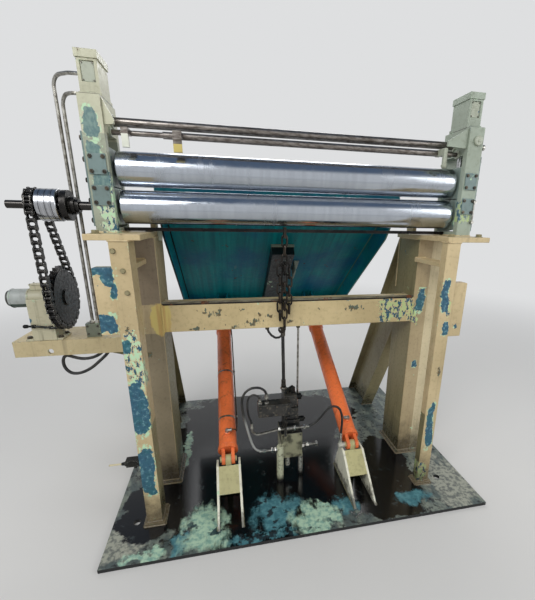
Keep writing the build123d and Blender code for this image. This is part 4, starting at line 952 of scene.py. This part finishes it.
# Roll housings: guide bars over the bearing blocks, caps of the cross rods, panels on the lift heads
for side, sign in outward.items():
    guides, screws, trim = [], [], []
    for y0, y1 in ((-105, -63), (63, 105)):
        x0, x1 = sorted((sign * 935.2, sign * 943.6))
        guides.append(block(x0, x1, y0, y1, 1532, 1906))
        for z in (1556, 1638, 1720, 1802, 1884):
            screws += hexbolt((sign * 943.6, (y0 + y1) / 2, z), X * sign, 19, 8)
    for y, z, flats, high, collar in ((20, 1972, 52, 22, 30), (-30, 1922, 32, 16, 21)):
        screws += hexbolt((sign * 935, y, z), X * sign, flats, high)
        trim.append(lathe((sign * 850, y, z), X * -sign, [(0, collar), (7, collar), (9, collar - 2)], 24))
    for y0, y1 in ((-66.5, -64), (64, 66.5)):
        x0, x1 = sorted((sign * 868, sign * 917))
        trim.append(block(x0, x1, y0, y1, 2093.5, 2164.5))
        for x in (872.5, 912.5):
            for z in (2098.5, 2159.5):
                front = -1 if y0 < 0 else 1
                screws += socket_screw((sign * x, front * 66.5, z), Y * front, 6, 3)
    for z in (2076.5, 2150):
        end = (sign * 944.5, 40, z)
        screws += hexnut(end, X * sign, 26, 11)
        if sign > 0:
            screws.append(lathe(end, X, [(10, 10), (15, 9.5), (17, 7)], 16))
    make(f"guide_bars_{side}", guide_paint, guides, bevel=1.2)
    make(f"head_panels_{side}", panel_paint, trim, bevel=0.8)
    make(f"housing_bolts_{side}", bolt_finish, screws)
    # A cover plate with its bolts on the front of each housing, over the ends of the blocks
    x0, x1 = sorted((sign * 858, sign * 927))
    plates = [block(x0, x1, -116.5, -111.2, z0, z1) for z0, z1 in ((1618, 1700), (1742, 1824))]
    make(f"front_covers_{side}", guide_paint, plates, bevel=1.5)
    places = [(sign * x, -116.5, z) for z in (1630, 1688, 1754, 1812) for x in (868, 917)]
    make(f"front_cover_bolts_{side}", bolt_finish, each(places, hexbolt, -Y, 13, 6))
    # Bearings: cover screws and a seal round each journal
    for body, word, z in (("frame", "lower", roll_z), ("upper_carriage", "upper", upper_z)):
        turns = [pi / 6 + i * pi / 3 for i in range(6)]
        ring = [(sign * 941, 39.5 * cos(t), z + 39.5 * sin(t)) for t in turns]
        seal = [(-1, 29.3), (-1, 34.5), (2.2, 34), (2.6, 29.3)]
        seals = [lathe((x, 0, z), X * way, seal, 36, ring=True)
            for x, way in ((sign * 941, sign), (sign * 852, -sign))]
        cover_screws = each(ring, socket_screw, X * sign, 9, 4)
        make(f"{word}_bearing_screws_{side}", zinc_finish, cover_screws, body=body)
        make(f"{word}_bearing_seals_{side}", seal_rubber, seals, body=body)
# The gussets under the yokes, with the strap and knob on the lower cross rod at the right
gussets = [prism([(-849.5, 1935), (-812, 1940), (-812, 1958), (-849.5, 2036)], (0, -86, 0), X, Z, 14),
    prism([(849.5, 1940), (849.5, 2036), (742, 1972), (742, 1946)], (0, -86, 0), X, Z, 14)]
for side, material, gusset in zip(("left", "right"), (cream_paint, grey_paint), gussets):
    make(f"yoke_gusset_{side}", material, [gusset], bevel=1.2)
strap = [block(724, 744, -101, -16, 1906, 1938), block(724, 744, -101, -87, 1862, 1908),
    lathe((734, -94, 1868), -Z, [(0, 6), (4, 12), (11, 15.5), (19, 13.5), (26, 6), (28, 0)], 20),
    lathe((902, -111, 1978), -Y, [(0, 24), (8, 24), (12, 20), (12, 9), (16, 7), (17, 0)], 28)]
make("yoke_fittings", panel_paint, strap, bevel=1.2)
stud = [tube([(929, -119, 1571), (929, -119, 1689)], 4, 10),
    lathe((935, -60, 1958), X, [(0, 15), (14, 15), (14, 11), (34, 11), (34, 14), (44, 14), (46, 12)], 20)]
for z in (1578, 1682):
    stud.append(block(921, 937, -126, -111, z - 5, z + 5))
    stud += hexnut((929, -119, z + 5), Z, 12, 6)
make("adjusting_stud", zinc_finish, stud)

# Bolts of the left front post and the saddles, the switch, and the knob below the left hinge
bolts = []
for x, z in ((-839, 1438), (-810, 1356), (-804, 1262)):
    bolts += hexbolt((x, -264, z), -Y, 17, 8)
for x, y in ((-905, -225), (-905, 245), (-755, 90), (905, -225), (905, 245), (745, -225)):
    bolts += hexbolt((x, y, 1505), Z, 28, 12)
make("post_bolts", olive_paint, bolts)
switch = [block(-916.5, -853.5, -255.5, -222.5, 382.5, 421.5), block(-911, -859, -258.5, -255, 387, 417),
    lathe((-916.5, -239, 396), -X, [(0, 13), (6, 13), (8, 9.5), (20, 8), (24, 6)], 18),
    lathe((-878, -239, 382.5), -Z, [(0, 10), (5, 10), (6, 8), (16, 8), (18, 5)], 6)]
for x in (-906, -864):
    for z in (391, 413):
        switch += socket_screw((x, -258.5, z), -Y, 5, 2)
make("switch_cover", valve_finish, switch, bevel=1)
knob = [lathe((-718.5, 150, 1456), Z, [(0, 8), (4, 13), (20, 14.5), (40, 14.5), (52, 12), (58, 6), (59, 0)],
    20), block(-728.5, -716, 143, 157, 1470, 1490)]
make("hinge_knob", panel_paint, knob)

# Table: hinge pin ends, the duct's flange and deck screws
down = Vector((0, cos(table_slope), -sin(table_slope)))
normal = Vector((0, sin(table_slope), cos(table_slope)))
hinge = Vector((0, hinge_y, hinge_z))
pin_caps, deck_screws = [], []
for sign in (-1, 1):
    pin_caps.append(lathe((sign * 760, hinge_y, hinge_z), X * sign, [(0.5, 26), (5, 26), (6, 24.5)], 28))
    pin_caps += hexbolt((sign * 766, hinge_y, hinge_z), X * sign, 24, 10)
for x in (-700, -470, -235, 0, 235, 470, 600):
    for d in (-60, 200, 460, 720, 980, 1240):
        place = hinge + down * d + normal * 65 + Vector((x, 0, 0))
        deck_screws.append(lathe(place, normal, [(-1, 9), (0.8, 9), (1.4, 7)], 14))
make("hinge_pin_caps", bolt_finish, pin_caps, body="table")
flange_start = hinge + down * 425.5 + normal * 58.5
flange = prism([(-82, 0), (78, 0), (78, 22), (-82, 22)], flange_start, X, -normal, -4)
make("duct_flange", panel_paint, [flange], body="table", bevel=0.8)
make("deck_screws", zinc_finish, deck_screws, body="table")

# Cylinders: gland screws, wipers, beads and ports, all on the barrels
lean = Vector((0, cos(cylinder_lean), sin(cylinder_lean)))
over = Vector((0, -sin(cylinder_lean), cos(cylinder_lean)))
cylinder_base = {side: Vector((x, cylinder_y, cylinder_z)) for side, x in zip(outward, cylinder_x)}
for word, base in cylinder_base.items():
    body, screws = f"barrel_{word}", []
    for i in range(8):
        t = i * pi / 4 + 0.2
        place = base + lean * 1096 + Vector((cos(t) * 44, 0, 0)) + over * sin(t) * 44
        screws += socket_screw(place, lean, 12, 7)
    make(f"gland_screws_{word}", bolt_finish, screws, body=body)
    make(f"rod_wiper_{word}", seal_rubber, [lathe(base + lean * 1095.5, lean,
        [(0, 23.2), (0, 30), (5, 29), (8, 23.2)], 32, ring=True)], body=body)
    trim = [lathe(base + lean * at, lean, [(-5, 51.5), (-3, 54.5), (1, 55.5), (4, 53.5), (5, 51.5)], 40,
        ring=True) for at in (74.5, 1045.5)]
    for at in (140, 1072):
        trim.append(lathe(base + lean * at + over * 46, over, [(0, 18), (18, 18), (19.5, 16.5)], 20))
    make(f"barrel_ports_{word}", orange_paint, trim, body=body, angle=50)
    fittings = []
    for at in (140, 1072):
        port = base + lean * at + over * 64.5
        fittings += hexnut(port, over, 24, 9)
        fittings.append(lathe(port, over, [(9, 10.5), (20, 10.5), (21.5, 9)], 18))
        elbow = [(0, 9), (16, 9), (16, 11.5), (26, 11.5), (27, 10)]
        fittings.append(lathe(port + over * 14, (-1 if word == "right" else 1, 0, 0), elbow, 12))
    make(f"barrel_fittings_{word}", zinc_finish, fittings, body=body)
# The steel line that rides on the left barrel, from port to port, and its clips
base = cylinder_base["left"]
ends = [base + lean * at + over * 78.5 + X * 24 for at in (140, 1072)]
turn = [(0, 0), (16, 0), (26, 4), (30, 14)]
line = [ends[0] + X * out - over * under for out, under in turn]
for d in (200, 300, 420, 560, 700, 840, 960):
    line.append(base + lean * d + X * 59.5 + over * (30 + 3 * sin(d * 9 / 1000)))
line += [ends[1] + X * out - over * under for out, under in reversed(turn)]
make("barrel_line_left", line_finish, [tube(line, 4.2, 8)], body="barrel_left")
clips = []
for d in (250, 620):
    strip = [(0, 51.8), (0, 53.2), (12, 53.2), (12, 51.8)]
    clips.append(lathe(base + lean * d, lean, strip, 40, ring=True))
    clips.append(lathe(base + lean * (d - 1) + X * 59 + over * 30, lean, [(0, 7.5), (14, 7.5)], 10))
make("barrel_clips_left", zinc_finish, clips, body="barrel_left")

# Floor brackets: foot bolts
foot_bolts = []
for x in cylinder_x:
    for dx in (-37, 37):
        for y in (-108, -4):
            foot_bolts += hexbolt((x + dx, y, 32), Z, 24, 10)
make("bracket_bolts", bolt_finish, foot_bolts)

# Valve stack: screws, gaskets, nuts and the coils of the valves
screws, gaskets, nuts, coils = [], [], [], []
for i, (low, high) in enumerate(((342, 424), (424, 500), (500, 578))):
    y, right_edge = -45 + 7 * i, 4 - 7 * i
    for x in (-76, right_edge - 10):
        for z in (low + 12, high - 12):
            screws += socket_screw((x, y, z), -Y, 10, 5)
    if i:
        gaskets.append(block(-87.5, right_edge + 8.5, y - 8.5, 85.5, low - 1.5, low + 1.5))
for xs, y, zs, way, *size in (((-233, -195, -140, -70), -90, (497, 548), -Y, 10, 5),
        ((-60, -34), 20, (578,), Z, 12, 7), ((-98, 8), -60, (186, 328), -Y, 11, 5)):
    screws += each([(x, y, z) for x in xs for z in zs], socket_screw, way, *size)
for xs, y, z, way, *size in (((-233, -195), -60, 560, Z, 25, 9), ((-128, -36, 22), -68, 384, X, 27, 11),
        ((-150, -172), -60, 240, X, 28, 12), ((20, 48, 108), -44, 240, X, 29, 12),
        ((-76,), 66, 578, Z, 34, 14), ((11,), 66, 342, Z, 22, 12)):
    nuts += each([(x, y, z) for x in xs], hexnut, way, *size)
nuts.append(lathe((-140, -60, 240), X, [(-12, 10.5), (-10, 12), (4, 12), (6, 10.5)], 18))
screws += hexnut((11, 66, 982), -Z, 22, 12)
screws += hexnut((-80, 66, 982), -Z, 36, 14)
coils.append(lathe((-32, 20, 578), Z, [(0, 19), (30, 19), (32, 17), (32, 8), (40, 8), (42, 6)], 24))
coils.append(lathe((4, 30, 383), X, [(0, 22), (4, 22), (4, 18), (40, 18), (42, 16), (42, 8), (50, 8)], 24))
coils.append(lathe((-10, 30, 540), X, [(0, 20), (34, 20), (36, 18), (36, 7), (43, 7)], 24))
coils.append(block(-80, -55, -52, -40, 452, 472))
make("stack_screws", bolt_finish, screws)
make("stack_gaskets", valve_finish, gaskets, bevel=0.6)
make("stack_nuts", zinc_finish, nuts)
make("stack_coils", valve_finish, coils, bevel=0.8)
# The pipe curl under the beam
curl = [(-172, 60, 984), (-170, 60, 970), (-163, 60, 952), (-147, 61, 930), (-124, 63, 914),
    (-103, 65, 914), (-88, 66, 924), (-80, 66, 940)]
make("beam_curl", black_hose, [tube(curl, 6.8, 10)])
make("beam_curl_nut", bolt_finish, hexnut((-172, 60, 982), -Z, 22, 12))
# Ends of the hoses
ends, dark_ends = [], []
for place, away, diameter, length in (((-195, -60, 590), Z, 14, 1.2), ((-209, -60, 240), -X, 14, 1.5),
        ((-233, -60, 572), Z, 11, 1.0), ((-283, -64, 408), (0, 1 / 50, 1), 11, 1.8),
        ((25, -68, 384), X, 14, 1.4), ((252, -100, 275), Z, 14, 3.2), ((-76, 66, 592), Z, 20, 1.6),
        ((-80, 66, 968), -Z, 20, 1.4), ((-1040, 72, 930.4), -Z, 16, 0.7),
        ((-1010, 72, 930.4), -Z, 16, 0.7)):
    (dark_ends if diameter > 15 else ends).extend(hose_end(place, away, diameter, length))
make("hose_ends", zinc_finish, ends)
make("hose_ends_dark", bolt_finish, dark_ends)

# Drive: the motor's bands and box, pedestal feet, sprocket and coupling bolts, nuts on the pipes
band = [(0, 45.8), (0, 47.8), (4, 47.8), (4, 45.8)]
fins = [lathe((x, drive_y, motor_z), X, band, 40, ring=True) for x in (-1419, -1342.5)]
rim = [(0, 45.5), (0, 52.5), (10, 52.5), (10, 45.5)]
fins.append(lathe((-1246, drive_y, motor_z), X, rim, 40, ring=True))
make("motor_fins", motor_paint, fins, bevel=0.5, segments=1)
box_parts = [block(-1330, -1268, 82, 128, 1220.5, 1244), block(-1333, -1265, 79, 131, 1244, 1249)]
make("terminal_box", base_paint, box_parts, bevel=1)
drive_bolts = []
for x in (-1327, -1271):
    for y in (85, 125):
        drive_bolts += socket_screw((x, y, 1249), Z, 6, 3)
for x, y in ((-1368, 70), (-1360, 140)):
    drive_bolts += hexbolt((x, y, 977.3), Z, 19, 9)
for y in (70, 140):
    drive_bolts += hexbolt((-1226, y, 977.3), Z, 17, 8)
for x, y in ((-930, 260), (-1400, 260), (-1160, 260)):
    drive_bolts += hexbolt((x, y, 967.3), Z, 22, 10)
for y in (80, 130):
    for z in (995, 1120):
        drive_bolts += socket_screw((-1345.5, y, z), -X, 10, 5)
for x in (-1102, -1054):
    for z in (985, 1026):
        drive_bolts += socket_screw((x, 75, z), -Y, 10, 5)
make("drive_bolts", bolt_finish, drive_bolts)
feet = [block(-1378, -1345, 50, 160, 967.3, 977.3), block(-1240, -1214, 52, 158, 967.3, 977.3)]
make("pedestal_feet", base_paint, feet, bevel=1.5)
lever = [tube([(-1352, 41, 1048), (-1300, 41, 1044), (-1226, 41, 1033)], 5.5, 10),
    block(-1335, -1321, 36, 50.5, 1038, 1054), block(-1262, -1248, 36, 50.5, 1030, 1046),
    lathe((-1354, 41, 1048), -X, [(-4, 6), (0, 9), (12, 10), (18, 7), (19, 0)], 16)]
make("pedestal_lever", valve_finish, lever, bevel=0.6)
pipe_nuts = each([(x, 90, 1040.3) for x in (-1079, -1055)], hexnut, Z, 26, 14)
make("pipe_nuts", zinc_finish, pipe_nuts)
wheel_bolts = []
for i in range(6):
    t = i * pi / 3 + 0.25
    wheel_bolts += hexbolt((-1217.5, drive_y + 82 * cos(t), motor_z + 82 * sin(t)), -X, 15, 6)
make("drive_wheel_bolts", bolt_finish, wheel_bolts, body="drive_sprocket")
turned = []
for i in range(6):
    t = i * pi / 3
    turned += hexbolt((-1083, 48 * cos(t), roll_z + 48 * sin(t)), -X, 13, 6)
turned.append(lathe((-1034.8, 0, roll_z), X, [(0, 19.1), (0, 30), (14, 30), (14, 19.1)], 32, ring=True))
turned.append(lathe((-1236, 0, roll_z), X, [(0, 17.6), (0, 30), (16, 30), (16, 17.6)], 32, ring=True))
turned += socket_screw((-1228, 0, 1647), Z, 7, 2)
make("shaft_collars", iron_finish, turned, body="lower_roll")

# Camera, as the photograph was taken: the fit's focal length and optical centre in pixels
picture_w, picture_h, sensor = 535, 600, 36
focal, centre_x, centre_y = 353.228, 306.093, 328.503
yaw, tilt, roll = 0.22685, -0.29858, 0.01968
ahead = Vector((sin(yaw) * cos(tilt), cos(yaw) * cos(tilt), sin(tilt)))
right = Vector((cos(yaw), -sin(yaw), 0))
above = right.cross(ahead)
right, above = right * cos(roll) + above * sin(roll), above * cos(roll) - right * sin(roll)
camera_data = bpy.data.cameras.new("camera")
camera_data.lens = focal * sensor / picture_h
camera_data.shift_x = (picture_w / 2 - centre_x) / picture_h
camera_data.shift_y = (centre_y - picture_h / 2) / picture_h
camera = bpy.data.objects.new("camera", camera_data)
camera.matrix_world = Matrix(((right.x, above.x, -ahead.x, -0.3906), (right.y, above.y, -ahead.y, -1.8816),
    (right.z, above.z, -ahead.z, 1.5758), (0, 0, 0, 1)))
bpy.context.scene.collection.objects.link(camera)
bpy.context.scene.camera = camera

# Floor, which fades into the studio's pale horizon for the camera and in reflections
horizon, sky_top = rgb(222, 223, 224), rgb(96, 112, 134)
reach, floor_z = 40, -0.0006
floor_mesh = bpy.data.meshes.new("floor")
corners = [(x * reach, y * reach, floor_z) for x, y in ((-1, -1), (1, -1), (1, 1), (-1, 1))]
floor_mesh.from_pydata(corners, [], [(0, 1, 2, 3)])
floor = bpy.data.objects.new("floor", floor_mesh)
bpy.context.scene.collection.objects.link(floor)
ground = Shade("pale_floor", roughness=0.75, specular=0.2)
floor_mesh.materials.append(ground.finish(rgb(206, 205, 202)))
rays = ground.add("LightPath").outputs
shown = ground.math("MAXIMUM", rays["Is Camera Ray"], rays["Is Glossy Ray"])
away = ground.step(ground.vector("LENGTH", ground.place), 2.4, 8.0)
glow = ground.add("Emission")
glow.inputs["Color"].default_value = horizon
faded = ground.blend(ground.times(shown, away), ground.bsdf.outputs[0], glow.outputs[0])
ground.feed(ground.tree.nodes["Material Output"].inputs["Surface"], faded)
floor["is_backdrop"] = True


def lamp(name, place, aim, size, power):
    data = bpy.data.lights.new(name, "AREA")
    data.shape = "RECTANGLE"
    data.size, data.size_y = size
    data.energy = power
    light = bpy.data.objects.new(name, data)
    light.location = place
    light.rotation_euler = (Vector(aim) - Vector(place)).to_track_quat("-Z", "Y").to_euler()
    bpy.context.scene.collection.objects.link(light)


lamp("key", (-2.6, -3.6, 4.6), (0, 0.1, 1.0), (3.2, 2.2), 150)
lamp("fill", (3.6, -2.6, 2.8), (0, 0.1, 0.9), (2.4, 2.4), 50)
lamp("back", (0.5, 4.2, 4.4), (0, 0.2, 0.9), (3.5, 2.0), 90)

# World: a pale studio to look at and in reflections, an even light for the rest
world = bpy.data.worlds.new("studio")
bpy.context.scene.world = world
world.use_nodes = True
world.node_tree.nodes.clear()
studio = Graph(world.node_tree)
height = studio.part(studio.add("TexCoord").outputs["Generated"], "Z")
sky = studio.fade(height, 0.46, 0.8, horizon, sky_top)
seen = studio.fill(studio.add("Background"), (sky, 1.0))
even = studio.fill(studio.add("Background"), ((0.86, 0.88, 0.92, 1), 0.62))
rays = studio.add("LightPath").outputs
mirrored = studio.math("MAXIMUM", rays["Is Glossy Ray"], rays["Is Transmission Ray"])
shown = studio.math("MAXIMUM", rays["Is Camera Ray"], mirrored)
studio.fill(studio.add("OutputWorld"), (studio.blend(shown, even.outputs[0], seen.outputs[0]),))
bpy.context.scene.view_settings.view_transform = "Standard"

low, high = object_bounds()
